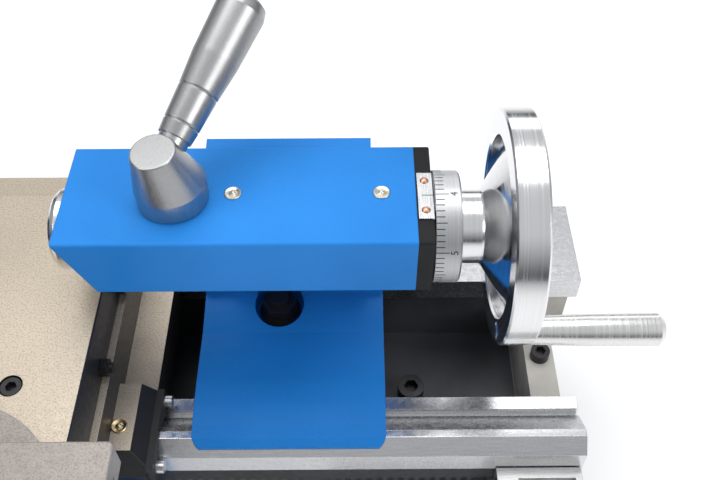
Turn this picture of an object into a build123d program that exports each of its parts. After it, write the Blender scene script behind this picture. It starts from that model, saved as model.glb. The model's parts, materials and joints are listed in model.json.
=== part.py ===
from build123d import *
import os
from math import acos, atan2, cos, hypot, pi, radians, sin

# A bench metal-turning lathe, with its tailstock at the right-hand end of the bed.
# X runs along the bed, away from the headstock. Y points away from the operator. Z is up.
# The origin lies on the bench, at the middle of the four bench bolts. All sizes are in mm.

# ---- driving dimensions: the whole machine
centre_height = 110.0        # spindle axis above the flat ways
way_height = 160.0           # flat ways above the bench
bed_length = 901.0           # front way, end to end
axis_z = way_height + centre_height

# ---- fits and gaps
running_gap = 0.05           # radial clearance of a shaft in its bore
slide_gap = 0.3              # between faces of two bodies that slide past each other
loose_gap = 0.5              # round a screw in its hole

# ---- feet and bench bolts
foot_inset_left = 80.0       # bed's left end to the left bench bolts
foot_inset_right = 93.0      # bed's right end to the right bench bolts
foot_length = 116.0
foot_height = 60.0
foot_wall = 12.0
bench_bolt_reach = 118.0     # bench bolts either side of the spindle axis, along Y
bench_bolt_hole_r = 6.5
floor_bolt_r = 6.0
floor_bolt_head_r = 9.0
floor_bolt_head = 11.0
floor_bolt_y = (9.0, -34.0)

bolt_x = (bed_length - foot_inset_left - foot_inset_right) / 2
bed_left = -bolt_x - foot_inset_left
bed_right = bed_left + bed_length

# ---- bed section, across Y
flat_in = -40.0              # inner edge of the front flat way
flat_out = -48.0
vee_back = -52.0
vee_ridge_back = -66.0
vee_ridge_front = -70.3
vee_front = -78.5
vee_rise = 9.0               # ridge above the flat way
vee_skirt = 15.0             # depth of the ground front way below its slope
front_wall = (-66.0, -52.0)
rear_wall = (60.0, 76.0)
rear_way = (46.0, 112.0)
rear_way_thick = 18.0
rear_way_extra = 18.0        # the rear way runs on past the front way's right end
bed_floor = (68.0, 78.0)
rib_thick = 19.0
rib_top = 35.0               # top of an end rib below the flat ways
cross_rib_top = 46.0         # top of a rib between them, clear of the tailstock's clamp
rib_pitch = 182.0

# ---- rack, pinion and leadscrew, in front of the bed
rack_module = 2.0
rack_back = 142.0            # top face of the rack bar
rack_line = 128.0            # pitch line
rack_width = 11.0
rack_ends = (-250.0, 400.0)
pinion_teeth = 12
leadscrew_r = 9.0
leadscrew_y = -88.0
leadscrew_z = 88.0
bracket_length = 50.0
bracket_y = (-104.0, -66.0)

# ---- headstock and drive
headstock_length = 158.0
headstock_y = (-72.0, 98.0)
headstock_top = 80.0         # above the spindle axis
headstock_wall = 26.0
cavity_half = 45.0           # half the width of the hollow under the spindle
spindle_nose_gap = 21.0      # headstock's right face to the spindle nose
spindle_bore_r = 10.0
spindle_r = 20.0
nose_r = 38.0
nose_flange = 12.0
bearing_r = 34.0
bearing_width = 16.0
chuck_r = 62.5
chuck_length = 60.0
jaw_width = 14.0
jaw_in = 16.0
jaw_out = 56.0
jaw_depth = 18.0
jaw_stand = 20.0
gear_module = 2.5
spindle_teeth = 24
screw_teeth = 40
gear_width = 11.0
pulley_r = 46.0
motor_pulley_r = 23.0
pulley_width = 15.0
belt_thick = 3.0
motor_r = 58.0
motor_length = 150.0
motor_shaft_r = 9.0
motor_y = 168.0
motor_z = 232.0
guard_y = (-158.0, 236.0)
guard_z = (28.0, 348.0)
guard_depth = 58.0
guard_wall = 2.5
guard_plate = 3.0

# ---- carriage
carriage_x = 126.0           # middle of the carriage and of the cross slide
saddle_half = 84.0
block_half = 64.0            # raised middle of the saddle
slide_half = 60.0            # half the cross slide's width
bridge_top = 11.0            # heights above the flat ways
wing_top = 20.0
block_top = 40.0
slide_top = 70.0
dovetail_rise = 12.0
dovetail_half = 36.0
dovetail_flare = 6.0
swivel_y = -144.0
swivel_r = 62.0
swivel_thick = 4.0
top_slide_top = 92.0         # above the flat ways
top_slide_half = 31.0
top_slide_x = (51.0, 215.0)
apron_y = (-112.0, -80.0)
apron_z = (62.0, 149.7)
apron_wall = 10.0
feed_screw_r = 5.0
handwheel_x = 76.0
post_x = 96.0
post_half = 27.0
post_height = 46.0

# ---- tailstock, placed along X from the right-hand face of its body
tailstock_x = bed_right - 99.8
body_side = 37.5             # height of its vertical sides
body_length = 177.7
body_nose_cut = 15.1         # how far the nose slants back, top to bottom of the sides
quill_r = 21.5
quill_length = body_length - 27.7
body_half = quill_r + 12.0
body_top = quill_r + 5.0     # above the quill axis
quill_proud = 8.5            # quill nose beyond the body's nose
base_length = 110.0
base_overhang = 14.2         # base's right end inside the body's right face
pedestal_length = 88.0
pedestal_right = 22.2        # pedestal's right side inside the body's right face
cap_thick = 8.3
dial_r = 29.5
dial_width = 14.5
wheel_r = 62.5
wheel_rim_in = 48.0
wheel_hub_r = 19.5
quill_screw_r = 8.0
grip_angle = 220.5           # place of the handwheel's grip, degrees from +Y towards +Z
grip_orbit = 55.25
lock_x = 121.7               # quill lock, inside the body's right face
lock_y = -3.0
lock_heading = 62.0          # lock lever's heading from +X towards +Y
lock_rise = 26.0
lock_rod_length = 96.0
oiler_r = 4.3
clamp_x = 78.2               # clamp bolt, inside the body's right face
clamp_y = 15.0
clamp_bolt_r = 6.0

os.makedirs("parts", exist_ok=True)

TURN = {"x": (0, 90, 0), "y": (90, 0, 0), "z": (0, 0, 0)}


def save(part, label):
    """Name a finished piece and write its file."""
    part.label = label
    export_step(part, f"parts/{label}.step")


def block(x, y, z, mode=Mode.ADD):
    """A box between two limits on each axis."""
    with Locations(((x[0] + x[1]) / 2, (y[0] + y[1]) / 2, (z[0] + z[1]) / 2)):
        Box(x[1] - x[0], y[1] - y[0], z[1] - z[0], mode=mode)


def bar(axis, span, centre, radius, mode=Mode.ADD):
    """A round bar along one axis; centre gives its place on the other two, in X, Y, Z order."""
    place = list(centre)
    place.insert("xyz".index(axis), (span[0] + span[1]) / 2)
    with Locations(tuple(place)):
        Cylinder(radius, span[1] - span[0], rotation=TURN[axis], mode=mode)


def turned(outline, plane, mode=Mode.ADD):
    """A turned piece: the outline's points are distance along the plane's X axis, and radius."""
    with BuildSketch(plane) as profile:
        with BuildLine():
            Polyline(*outline, close=True)
        make_face()
    revolve(profile.sketch, axis=Axis(plane.origin, plane.x_dir), mode=mode)


def prism(outline, plane, amount, mode=Mode.ADD):
    """A closed outline on a plane, extruded."""
    with BuildSketch(plane) as profile:
        with BuildLine():
            Polyline(*outline, close=True)
        make_face()
    extrude(profile.sketch, amount=amount, mode=mode)


def rounded_prism(outline, radius, plane, amount, mode=Mode.ADD):
    """A closed outline with all its corners rounded, extruded."""
    with BuildSketch(plane) as profile:
        with BuildLine():
            Polyline(*outline, close=True)
        make_face()
        fillet(profile.vertices(), radius)
    extrude(profile.sketch, amount=amount, mode=mode)


def along_x(x, y, z):
    """A plane whose X axis runs along the machine's X, for turned pieces."""
    return Plane(origin=(x, y, z), x_dir=(1, 0, 0), z_dir=(0, -1, 0))


def along_y(x, y, z):
    """A plane whose X axis points towards the operator, for turned pieces."""
    return Plane(origin=(x, y, z), x_dir=(0, -1, 0), z_dir=(-1, 0, 0))


def along_z(x, y, z):
    """A plane whose X axis points up, for turned pieces."""
    return Plane(origin=(x, y, z), x_dir=(0, 0, 1), z_dir=(1, 0, 0))


def gear_points(module, teeth, phase):
    """Outline of a spur gear with straight-flanked teeth; phase is the first tooth's angle."""
    pitch_r = module * teeth / 2
    tip_r = pitch_r + 0.85 * module
    root_r = pitch_r - 1.15 * module
    step = 2 * pi / teeth
    root_half = 0.315 * step
    tip_half = 0.115 * step
    points = []
    for tooth in range(teeth):
        middle = phase + tooth * step
        for radius, offset in (
            (root_r, -root_half),
            (tip_r, -tip_half),
            (tip_r, tip_half),
            (root_r, root_half),
        ):
            points.append((radius * cos(middle + offset), radius * sin(middle + offset)))
    return points


# ============================================================ bed
w = way_height
vee_top = w + vee_rise
with BuildPart() as bed:
    front_outline = [
        (flat_in, w),
        (flat_out, w),
        (flat_out, w - 5),
        (vee_back, w - 5),
        (vee_back, w - 1),
        (vee_ridge_back, vee_top),
        (vee_ridge_front, vee_top),
        (vee_front, w + 1),
        (vee_front, w - vee_skirt),
        (front_wall[0], w - vee_skirt - 3),
        (front_wall[0], foot_height),
        (front_wall[1], foot_height),
        (front_wall[1], w - vee_skirt - 8),
        (flat_in, w - vee_skirt),
    ]
    prism(front_outline, Plane.YZ.offset(bed_left), bed_length)
    rear_outline = [
        (rear_way[0], w),
        (rear_way[1], w),
        (rear_way[1], w - rear_way_thick),
        (rear_way[1] - 16, w - rear_way_thick),
        (rear_wall[1], w - rear_way_thick - 4),
        (rear_wall[1], foot_height),
        (rear_wall[0], foot_height),
        (rear_wall[0], w - rear_way_thick - 8),
        (rear_way[0], w - rear_way_thick),
    ]
    prism(rear_outline, Plane.YZ.offset(bed_left), bed_length + rear_way_extra)
    inside = (front_wall[1] - 1, rear_wall[0] + 1)
    block((bed_left, bed_right), inside, bed_floor)
    rib_z = (bed_floor[1] - 1, w - rib_top)
    block((bed_right - rib_thick, bed_right), inside, rib_z)
    block((bed_left, bed_left + rib_thick), inside, rib_z)
    rib_count = int((bed_length - 2 * rib_thick) // rib_pitch)
    rib_step = (bed_length - rib_thick) / (rib_count + 1)
    for rib in range(1, rib_count + 1):
        rib_x = bed_left + rib * rib_step
        block((rib_x, rib_x + rib_thick / 2), inside, (rib_z[0], w - cross_rib_top))
    for x in (-bolt_x, bolt_x):
        for y in floor_bolt_y:
            bar("z", (foot_height - 1, bed_floor[1] + 1), (x, y), floor_bolt_r + loose_gap, Mode.SUBTRACT)
    rib_bolt = (bed_right - rib_thick / 2, 10.0)
    bar("z", (w - rib_top - 20, w - rib_top + 1), rib_bolt, 4.0, Mode.SUBTRACT)
    fillet(bed.edges().filter_by(Axis.X).group_by(Axis.Z)[-1], 0.8)
save(bed.part, "bed")

foot_y = bench_bolt_reach + 20
with BuildPart() as bed_feet:
    for x in (-bolt_x, bolt_x):
        foot_x = (x - foot_length / 2, x + foot_length / 2)
        hollow_x = (foot_x[0] + foot_wall, foot_x[1] - foot_wall)
        foot_front = vee_front - 8
        foot_rear = rear_way[1] + 4
        block(foot_x, (-foot_y, foot_y), (0, 14))
        block(foot_x, (foot_front, foot_rear), (0, foot_height))
        hollow_y = (foot_front + foot_wall, foot_rear - foot_wall)
        block(hollow_x, hollow_y, (-1, foot_height - foot_wall), Mode.SUBTRACT)
        web_y = (sum(hollow_y) - foot_wall) / 2
        block(hollow_x, (web_y, web_y + foot_wall), (0, foot_height - foot_wall))
        for y in (-bench_bolt_reach, bench_bolt_reach):
            bar("z", (-1, 15), (x, y), bench_bolt_hole_r, Mode.SUBTRACT)
        for y in floor_bolt_y:
            bar("z", (foot_height - foot_wall - 1, foot_height + 1), (x, y), floor_bolt_r, Mode.SUBTRACT)
    fillet(bed_feet.edges().filter_by(Axis.Z).group_by(Axis.Y)[0], 10)
    fillet(bed_feet.edges().filter_by(Axis.Z).group_by(Axis.Y)[-1], 10)
save(bed_feet.part, "bed_feet")

with BuildPart() as bed_screws:
    for x in (-bolt_x, bolt_x):
        for y in floor_bolt_y:
            base = bed_floor[1]
            bar("z", (foot_height - foot_wall, base), (x, y), floor_bolt_r)
            bar("z", (base, base + floor_bolt_head), (x, y), floor_bolt_head_r)
            with BuildSketch(Plane.XY.offset(base + floor_bolt_head)) as socket:
                with Locations((x, y)):
                    RegularPolygon(5.0, 6)
            extrude(amount=-6, mode=Mode.SUBTRACT)
    top = w - rib_top
    bar("z", (top - 19, top), rib_bolt, 4.0)
    bar("z", (top, top + 7), rib_bolt, 6.2)
    with BuildSketch(Plane.XY.offset(top + 7)) as rib_socket:
        with Locations(rib_bolt):
            RegularPolygon(3.4, 6)
    extrude(amount=-4, mode=Mode.SUBTRACT)
save(bed_screws.part, "bed_screws")

# ============================================================ rack, leadscrew and its brackets
rack_pitch = pi * rack_module
pinion_r = rack_module * pinion_teeth / 2
pinion_z = rack_line - pinion_r
rack_y = (front_wall[0] - rack_width, front_wall[0])
with BuildPart() as rack:
    first = int((rack_ends[0] - handwheel_x) // rack_pitch) + 1
    last = int((rack_ends[1] - handwheel_x) // rack_pitch)
    tip_z = rack_line - 0.85 * rack_module
    root_z = rack_line + 1.15 * rack_module
    outline = [(rack_ends[1] + rack_pitch, rack_back), (rack_ends[0] - rack_pitch, rack_back)]
    outline.append((rack_ends[0] - rack_pitch, root_z))
    for tooth in range(first, last):
        middle = handwheel_x + (tooth + 0.5) * rack_pitch
        outline.append((middle - 0.315 * rack_pitch, root_z))
        outline.append((middle - 0.115 * rack_pitch, tip_z))
        outline.append((middle + 0.115 * rack_pitch, tip_z))
        outline.append((middle + 0.315 * rack_pitch, root_z))
    outline.append((rack_ends[1] + rack_pitch, root_z))
    prism(outline, along_x(0, rack_y[1], 0), rack_width)
save(rack.part, "rack")

gear_x = bed_left - guard_plate - 34.0
leadscrew_ends = (gear_x - 6, bed_right - 4)
with BuildPart() as leadscrew:
    journal_r = leadscrew_r - 2
    bar("x", leadscrew_ends, (leadscrew_y, leadscrew_z), journal_r)
    left_journal = bed_left + bracket_length
    bar("x", (left_journal, bed_right - bracket_length - 2), (leadscrew_y, leadscrew_z), leadscrew_r)
save(leadscrew.part, "leadscrew")

with BuildPart() as leadscrew_brackets:
    left_x = (bed_left, bed_left + bracket_length - 4)
    right_x = (bed_right - bracket_length, bed_right - 1)
    for x in (left_x, right_x):
        bracket_outline = [
            (bracket_y[1], 70),
            (bracket_y[1], w - vee_skirt - 4),
            (vee_front - 0.5, w - vee_skirt - 1),
            (vee_front - 0.5, w - 13),
            (bracket_y[0] + 4, w - 13),
            (bracket_y[0], w - 20),
            (bracket_y[0], 74),
            (bracket_y[0] + 4, 70),
        ]
        prism(bracket_outline, Plane.YZ.offset(x[0]), x[1] - x[0])
        block((x[0] + 12, x[1] - 4), (vee_front - 9, vee_front - 7), (w - 18, w), Mode.SUBTRACT)
        bore_r = journal_r + running_gap
        bar("x", (x[0] - 1, x[1] + 1), (leadscrew_y, leadscrew_z), bore_r, Mode.SUBTRACT)
save(leadscrew_brackets.part, "leadscrew_brackets")

# ============================================================ headstock, spindle and drive
head_x = (bed_left, bed_left + headstock_length)
nose_x = head_x[1] + spindle_nose_gap
spindle_left = bed_left - guard_plate - 44.0
head_bottom = w
with BuildPart() as headstock:
    head_top = axis_z + headstock_top
    head_outline = [
        (headstock_y[0], head_bottom),
        (headstock_y[0], head_top - 34),
        (headstock_y[0] + 22, head_top),
        (headstock_y[1] - 16, head_top),
        (headstock_y[1], head_top - 24),
        (headstock_y[1], head_bottom),
    ]
    prism(head_outline, Plane.YZ.offset(head_x[0]), headstock_length)
    fillet(headstock.edges().filter_by(Axis.X).group_by(Axis.Z)[1:], 6)
    cavity_x = (head_x[0] + headstock_wall, head_x[1] - headstock_wall)
    cavity_y = (-cavity_half, cavity_half)
    block(cavity_x, cavity_y, (head_bottom - 1, head_top - 30), Mode.SUBTRACT)
    web_x = sum(head_x) / 2
    block((web_x - 5, web_x + 5), cavity_y, (head_bottom + 12, head_top - 30))
    notch = [
        (vee_back + 0.4, w - 1),
        (vee_back + 0.4, w),
        (vee_ridge_back, vee_top + 0.3),
        (vee_ridge_front, vee_top + 0.3),
        (headstock_y[0] - 1, w + 7.2),
        (headstock_y[0] - 1, w - 1),
    ]
    prism(notch, Plane.YZ.offset(head_x[0] - 1), headstock_length + 2, Mode.SUBTRACT)
    bar("x", (head_x[0] - 1, head_x[1] + 1), (0, axis_z), spindle_r + 3, Mode.SUBTRACT)
    bearing_spans = (
        (head_x[0] + 4, head_x[0] + 4 + bearing_width),
        (head_x[1] - 4 - bearing_width, head_x[1] - 4),
    )
    bar("x", (head_x[0] - 1, bearing_spans[0][1]), (0, axis_z), bearing_r, Mode.SUBTRACT)
    bar("x", (bearing_spans[1][0], head_x[1] + 1), (0, axis_z), bearing_r, Mode.SUBTRACT)
save(headstock.part, "headstock")

with BuildPart() as spindle_bearings:
    for span in bearing_spans:
        bar("x", span, (0, axis_z), bearing_r)
        bar("x", (span[0] - 1, span[1] + 1), (0, axis_z), spindle_r + running_gap, Mode.SUBTRACT)
save(spindle_bearings.part, "spindle_bearings")

with BuildPart() as spindle:
    spindle_outline = [
        (spindle_left, spindle_bore_r),
        (spindle_left, spindle_r - 4),
        (head_x[0] - 2, spindle_r - 4),
        (head_x[0] - 2, spindle_r),
        (nose_x - nose_flange, spindle_r),
        (nose_x - nose_flange, nose_r),
        (nose_x, nose_r),
        (nose_x, spindle_bore_r),
    ]
    turned(spindle_outline, along_x(0, 0, axis_z))
save(spindle.part, "spindle")

chuck_x = (nose_x, nose_x + chuck_length)
jaw_angles = (90.0, 210.0, 330.0)
with BuildPart() as chuck_body:
    chuck_outline = [
        (chuck_x[0], spindle_bore_r + 4),
        (chuck_x[0], chuck_r - 3),
        (chuck_x[0] + 3, chuck_r),
        (chuck_x[1] - 3, chuck_r),
        (chuck_x[1], chuck_r - 3),
        (chuck_x[1], spindle_bore_r + 4),
    ]
    turned(chuck_outline, along_x(0, 0, axis_z))
    for angle in jaw_angles:
        outwards = (0, cos(radians(angle)), sin(radians(angle)))
        face = Plane(origin=(chuck_x[1], 0, axis_z), x_dir=outwards, z_dir=(1, 0, 0))
        with BuildSketch(face) as jaw_slot:
            with Locations((chuck_r / 2 + 5, 0)):
                Rectangle(chuck_r + 10, jaw_width + 2 * slide_gap)
        extrude(jaw_slot.sketch, amount=-(jaw_depth + 1), mode=Mode.SUBTRACT)
        key_angle = radians(angle + 60)
        key_plane = Plane(
            origin=(chuck_x[0] + 26, chuck_r * cos(key_angle), axis_z + chuck_r * sin(key_angle)),
            x_dir=(1, 0, 0),
            z_dir=(0, cos(key_angle), sin(key_angle)),
        )
        with BuildSketch(key_plane) as key_socket:
            Rectangle(9, 9)
        extrude(key_socket.sketch, amount=-14, mode=Mode.SUBTRACT)
save(chuck_body.part, "chuck_body")

for number, angle in enumerate(jaw_angles, 1):
    with BuildPart() as jaw:
        side = Plane(
            origin=(chuck_x[1], 0, axis_z),
            x_dir=(0, cos(radians(angle)), sin(radians(angle))),
            z_dir=(0, sin(radians(angle)), -cos(radians(angle))),
        )
        steps = [
            (jaw_in, -jaw_depth),
            (jaw_out, -jaw_depth),
            (jaw_out, 6),
            (jaw_out - 12, 6),
            (jaw_out - 12, 13),
            (jaw_out - 25, 13),
            (jaw_out - 25, jaw_stand),
            (jaw_in, jaw_stand),
        ]
        with BuildSketch(side) as jaw_side:
            with BuildLine():
                Polyline(*steps, close=True)
            make_face()
        extrude(jaw_side.sketch, amount=jaw_width / 2, both=True)
    save(jaw.part, f"chuck_jaw_{number}")

leadscrew_angle = atan2(leadscrew_z - axis_z, leadscrew_y)
centre_gap = hypot(leadscrew_z - axis_z, leadscrew_y)
spare = 2 * centre_gap / gear_module - spindle_teeth - screw_teeth
idler_teeth = int(spare / 2) + 2
gap_one = gear_module * (spindle_teeth + idler_teeth) / 2
gap_two = gear_module * (idler_teeth + screw_teeth) / 2
swing = acos((gap_one**2 + centre_gap**2 - gap_two**2) / (2 * gap_one * centre_gap))
to_idler = leadscrew_angle - swing
idler_y = gap_one * cos(to_idler)
idler_z = axis_z + gap_one * sin(to_idler)
idler_phase = to_idler + pi + pi / idler_teeth
to_screw = atan2(leadscrew_z - idler_z, leadscrew_y - idler_y)
idler_step = 2 * pi / idler_teeth
lag = (to_screw - idler_phase) % idler_step
screw_phase = to_screw + pi + lag * idler_teeth / screw_teeth + pi / screw_teeth

pulley_x = bed_left - guard_plate - 20.0
with BuildPart() as spindle_pulley:
    bar("x", (pulley_x, pulley_x + pulley_width), (0, axis_z), pulley_r)
    bar("x", (pulley_x - 1.5, pulley_x), (0, axis_z), pulley_r + 3)
    prism(
        [(y, axis_z + z) for y, z in gear_points(gear_module, spindle_teeth, to_idler)],
        Plane.YZ.offset(gear_x),
        gear_width,
    )
    bar("x", (gear_x, pulley_x), (0, axis_z), spindle_r)
    bar("x", (gear_x - 1, pulley_x + pulley_width + 1), (0, axis_z), spindle_r - 4, Mode.SUBTRACT)
save(spindle_pulley.part, "spindle_pulley")

stud_r = 8.0
with BuildPart() as idler_gear:
    prism(
        [(idler_y + y, idler_z + z) for y, z in gear_points(gear_module, idler_teeth, idler_phase)],
        Plane.YZ.offset(gear_x),
        gear_width,
    )
    bar("x", (gear_x - 1, gear_x + gear_width + 1), (idler_y, idler_z), stud_r + running_gap, Mode.SUBTRACT)
save(idler_gear.part, "idler_gear")

with BuildPart() as leadscrew_gear:
    prism(
        [(leadscrew_y + y, leadscrew_z + z) for y, z in gear_points(gear_module, screw_teeth, screw_phase)],
        Plane.YZ.offset(gear_x),
        gear_width,
    )
    bar("x", (gear_x - 1, gear_x + gear_width + 1), (leadscrew_y, leadscrew_z), journal_r, Mode.SUBTRACT)
save(leadscrew_gear.part, "leadscrew_gear")

plate_x = (bed_left - guard_plate, bed_left)
hinge_x = plate_x[0] - 8.0
hinge_y = guard_y[1] + 8.0
with BuildPart() as guard_plate_part:
    plate_outline = [
        (guard_y[0] + 6, guard_z[0] + 6),
        (guard_y[1] - 6, guard_z[0] + 6),
        (guard_y[1] - 6, guard_z[1] - 6),
        (guard_y[0] + 6, guard_z[1] - 6),
    ]
    rounded_prism(plate_outline, 24, Plane.YZ.offset(plate_x[0]), guard_plate)
    bar("x", (plate_x[0] - 1, plate_x[1] + 1), (0, axis_z), spindle_r + 3, Mode.SUBTRACT)
    bar("x", (plate_x[0] - 1, plate_x[1] + 1), (leadscrew_y, leadscrew_z), journal_r + 3, Mode.SUBTRACT)
    bar("x", (plate_x[0] - 1, plate_x[1] + 1), (motor_y, motor_z), 14, Mode.SUBTRACT)
    bar("x", (gear_x - 3, plate_x[0] + 1), (idler_y, idler_z), stud_r)
    bar("x", (gear_x + gear_width + 0.6, plate_x[0]), (idler_y, idler_z), stud_r + 5)
    for z in (guard_z[0] + 70, guard_z[1] - 90):
        block((hinge_x, plate_x[1]), (guard_y[1] - 12, hinge_y), (z - 12, z + 12))
        bar("z", (z - 12, z + 12), (hinge_x, hinge_y), 6)
        bar("z", (z + 12, z + 34), (hinge_x, hinge_y), 3)
save(guard_plate_part.part, "guard_plate")

with BuildPart() as gear_cover:
    cover_x = (plate_x[0] - 1 - guard_depth, plate_x[0] - 1)
    cover_outline = [
        (guard_y[0], guard_z[0]),
        (guard_y[1], guard_z[0]),
        (guard_y[1], guard_z[1]),
        (guard_y[0], guard_z[1]),
    ]
    rounded_prism(cover_outline, 30, Plane.YZ.offset(cover_x[0]), guard_depth)
    inner_outline = [
        (guard_y[0] + guard_wall, guard_z[0] + guard_wall),
        (guard_y[1] - guard_wall, guard_z[0] + guard_wall),
        (guard_y[1] - guard_wall, guard_z[1] - guard_wall),
        (guard_y[0] + guard_wall, guard_z[1] - guard_wall),
    ]
    inner_plane = Plane.YZ.offset(cover_x[0] + guard_wall)
    rounded_prism(inner_outline, 30 - guard_wall, inner_plane, guard_depth, Mode.SUBTRACT)
    bar("x", (cover_x[0] - 1, cover_x[0] + 4), (0, axis_z), spindle_bore_r + 6, Mode.SUBTRACT)
    for z in (guard_z[0] + 70, guard_z[1] - 90):
        block((hinge_x - 6, hinge_x + 2), (guard_y[1] - 1, hinge_y), (z + 12.5, z + 33))
        bar("z", (z + 12.5, z + 33), (hinge_x, hinge_y), 6)
        leaf_x = (plate_x[0] - 16, plate_x[0])
        block(leaf_x, (guard_y[1] - 14, hinge_y + 8), (z - 13, z + 12.25), Mode.SUBTRACT)
        bar("z", (z + 12, z + 35), (hinge_x, hinge_y), 3 + running_gap, Mode.SUBTRACT)
    bar("x", (cover_x[0] - 14, cover_x[0]), (guard_y[0] + 26, axis_z - 80), 9)
save(gear_cover.part, "gear_cover")

motor_x = (plate_x[1], plate_x[1] + motor_length)
with BuildPart() as motor:
    motor_outline = [
        (motor_x[0], motor_shaft_r + running_gap),
        (motor_x[0], motor_r + 4),
        (motor_x[0] + 8, motor_r + 4),
        (motor_x[0] + 8, motor_r),
        (motor_x[1] - 6, motor_r),
        (motor_x[1], motor_r - 6),
        (motor_x[1], 0),
        (motor_x[0] + 20, 0),
        (motor_x[0] + 20, motor_shaft_r + running_gap),
    ]
    turned(motor_outline, along_x(0, motor_y, motor_z))
    lid_z = (motor_z + 40, motor_z + motor_r + 24)
    block((motor_x[0] + 40, motor_x[0] + 110), (motor_y - 30, motor_y + 30), lid_z)
    bar("x", (motor_x[0] + 109, motor_x[0] + 126), (motor_y, motor_z + motor_r + 12), 8)
save(motor.part, "motor")

with BuildPart() as motor_pulley:
    bar("x", (pulley_x, pulley_x + pulley_width), (motor_y, motor_z), motor_pulley_r)
    bar("x", (pulley_x - 1.5, pulley_x), (motor_y, motor_z), motor_pulley_r + 3)
    bar("x", (pulley_x, motor_x[0] + 19), (motor_y, motor_z), motor_shaft_r)
save(motor_pulley.part, "motor_pulley")

belt_x = (pulley_x + 1, pulley_x + pulley_width - 1)
belt_gap = 0.1
with BuildPart() as drive_belt:
    belt_length = hypot(motor_y, motor_z - axis_z)
    belt_slope = atan2(motor_z - axis_z, motor_y)

    def belt_outline(extra):
        """The belt's loop round both pulleys, this far outside their rims, as arcs and tangents."""
        big = pulley_r + extra
        small = motor_pulley_r + extra
        lean = acos((big - small) / belt_length)
        sides = []
        for sign in (1, -1):
            angle = belt_slope + sign * lean
            sides.append((big * cos(angle), axis_z + big * sin(angle)))
            sides.append((motor_y + small * cos(angle), motor_z + small * sin(angle)))
        back = (-big * cos(belt_slope), axis_z - big * sin(belt_slope))
        front = (motor_y + small * cos(belt_slope), motor_z + small * sin(belt_slope))
        return sides, back, front

    for extra, mode in ((belt_gap + belt_thick, Mode.ADD), (belt_gap, Mode.SUBTRACT)):
        sides, back, front = belt_outline(extra)
        with BuildSketch(Plane.YZ.offset(belt_x[0])) as loop:
            with BuildLine():
                Line(sides[0], sides[1])
                ThreePointArc(sides[1], front, sides[3])
                Line(sides[3], sides[2])
                ThreePointArc(sides[2], back, sides[0])
            make_face()
        extrude(loop.sketch, amount=belt_x[1] - belt_x[0], mode=mode)
save(drive_belt.part, "drive_belt")

box_x = (head_x[0] + 10, head_x[1] - 10)
box_y = (headstock_y[0] - 46, headstock_y[0])
box_z = (axis_z - 62, axis_z + 42)
panel_y = box_y[0]
with BuildPart() as control_box:
    block(box_x, box_y, box_z)
    fillet(control_box.edges().filter_by(Axis.Z).group_by(Axis.Y)[0], 6)
    fillet(control_box.edges().group_by(Axis.Y)[0], 2)
    block(
        (box_x[0] + 3, box_x[1] - 3),
        (box_y[0] + 3, box_y[1] + 1),
        (box_z[0] + 3, box_z[1] - 3),
        Mode.SUBTRACT,
    )
    block((sum(box_x) / 2 - 1.5, sum(box_x) / 2 + 1.5), box_y, (box_z[0] + 2, box_z[1] - 2))
    stop_at = (box_x[0] + 32, axis_z - 34)
    knob_at = (box_x[1] - 34, axis_z - 34)
    bar("y", (panel_y - 1, panel_y + 4), stop_at, 8 + running_gap, Mode.SUBTRACT)
    bar("y", (panel_y - 1, panel_y + 4), knob_at, 4 + running_gap, Mode.SUBTRACT)
    recess_x = (box_x[0] + 22, box_x[1] - 22)
    block(recess_x, (panel_y - 1, panel_y + 1.2), (axis_z + 2, axis_z + 30), Mode.SUBTRACT)
save(control_box.part, "control_box")

with BuildPart() as estop_button:
    turned(
        [(-10, 0), (-10, 8), (8, 8), (8, 18), (13, 20), (17, 19), (20, 15), (21, 0)],
        along_y(stop_at[0], panel_y, stop_at[1]),
    )
save(estop_button.part, "estop_button")

with BuildPart() as speed_knob:
    turned(
        [(-8, 0), (-8, 4), (0.6, 4), (0.6, 15), (4, 15), (16, 12.5), (17, 11.5), (17, 0)],
        along_y(knob_at[0], panel_y, knob_at[1]),
    )
    block((knob_at[0] - 1, knob_at[0] + 1), (panel_y - 17.6, panel_y - 14), (knob_at[1] + 2, knob_at[1] + 11))
save(speed_knob.part, "speed_knob")

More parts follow.
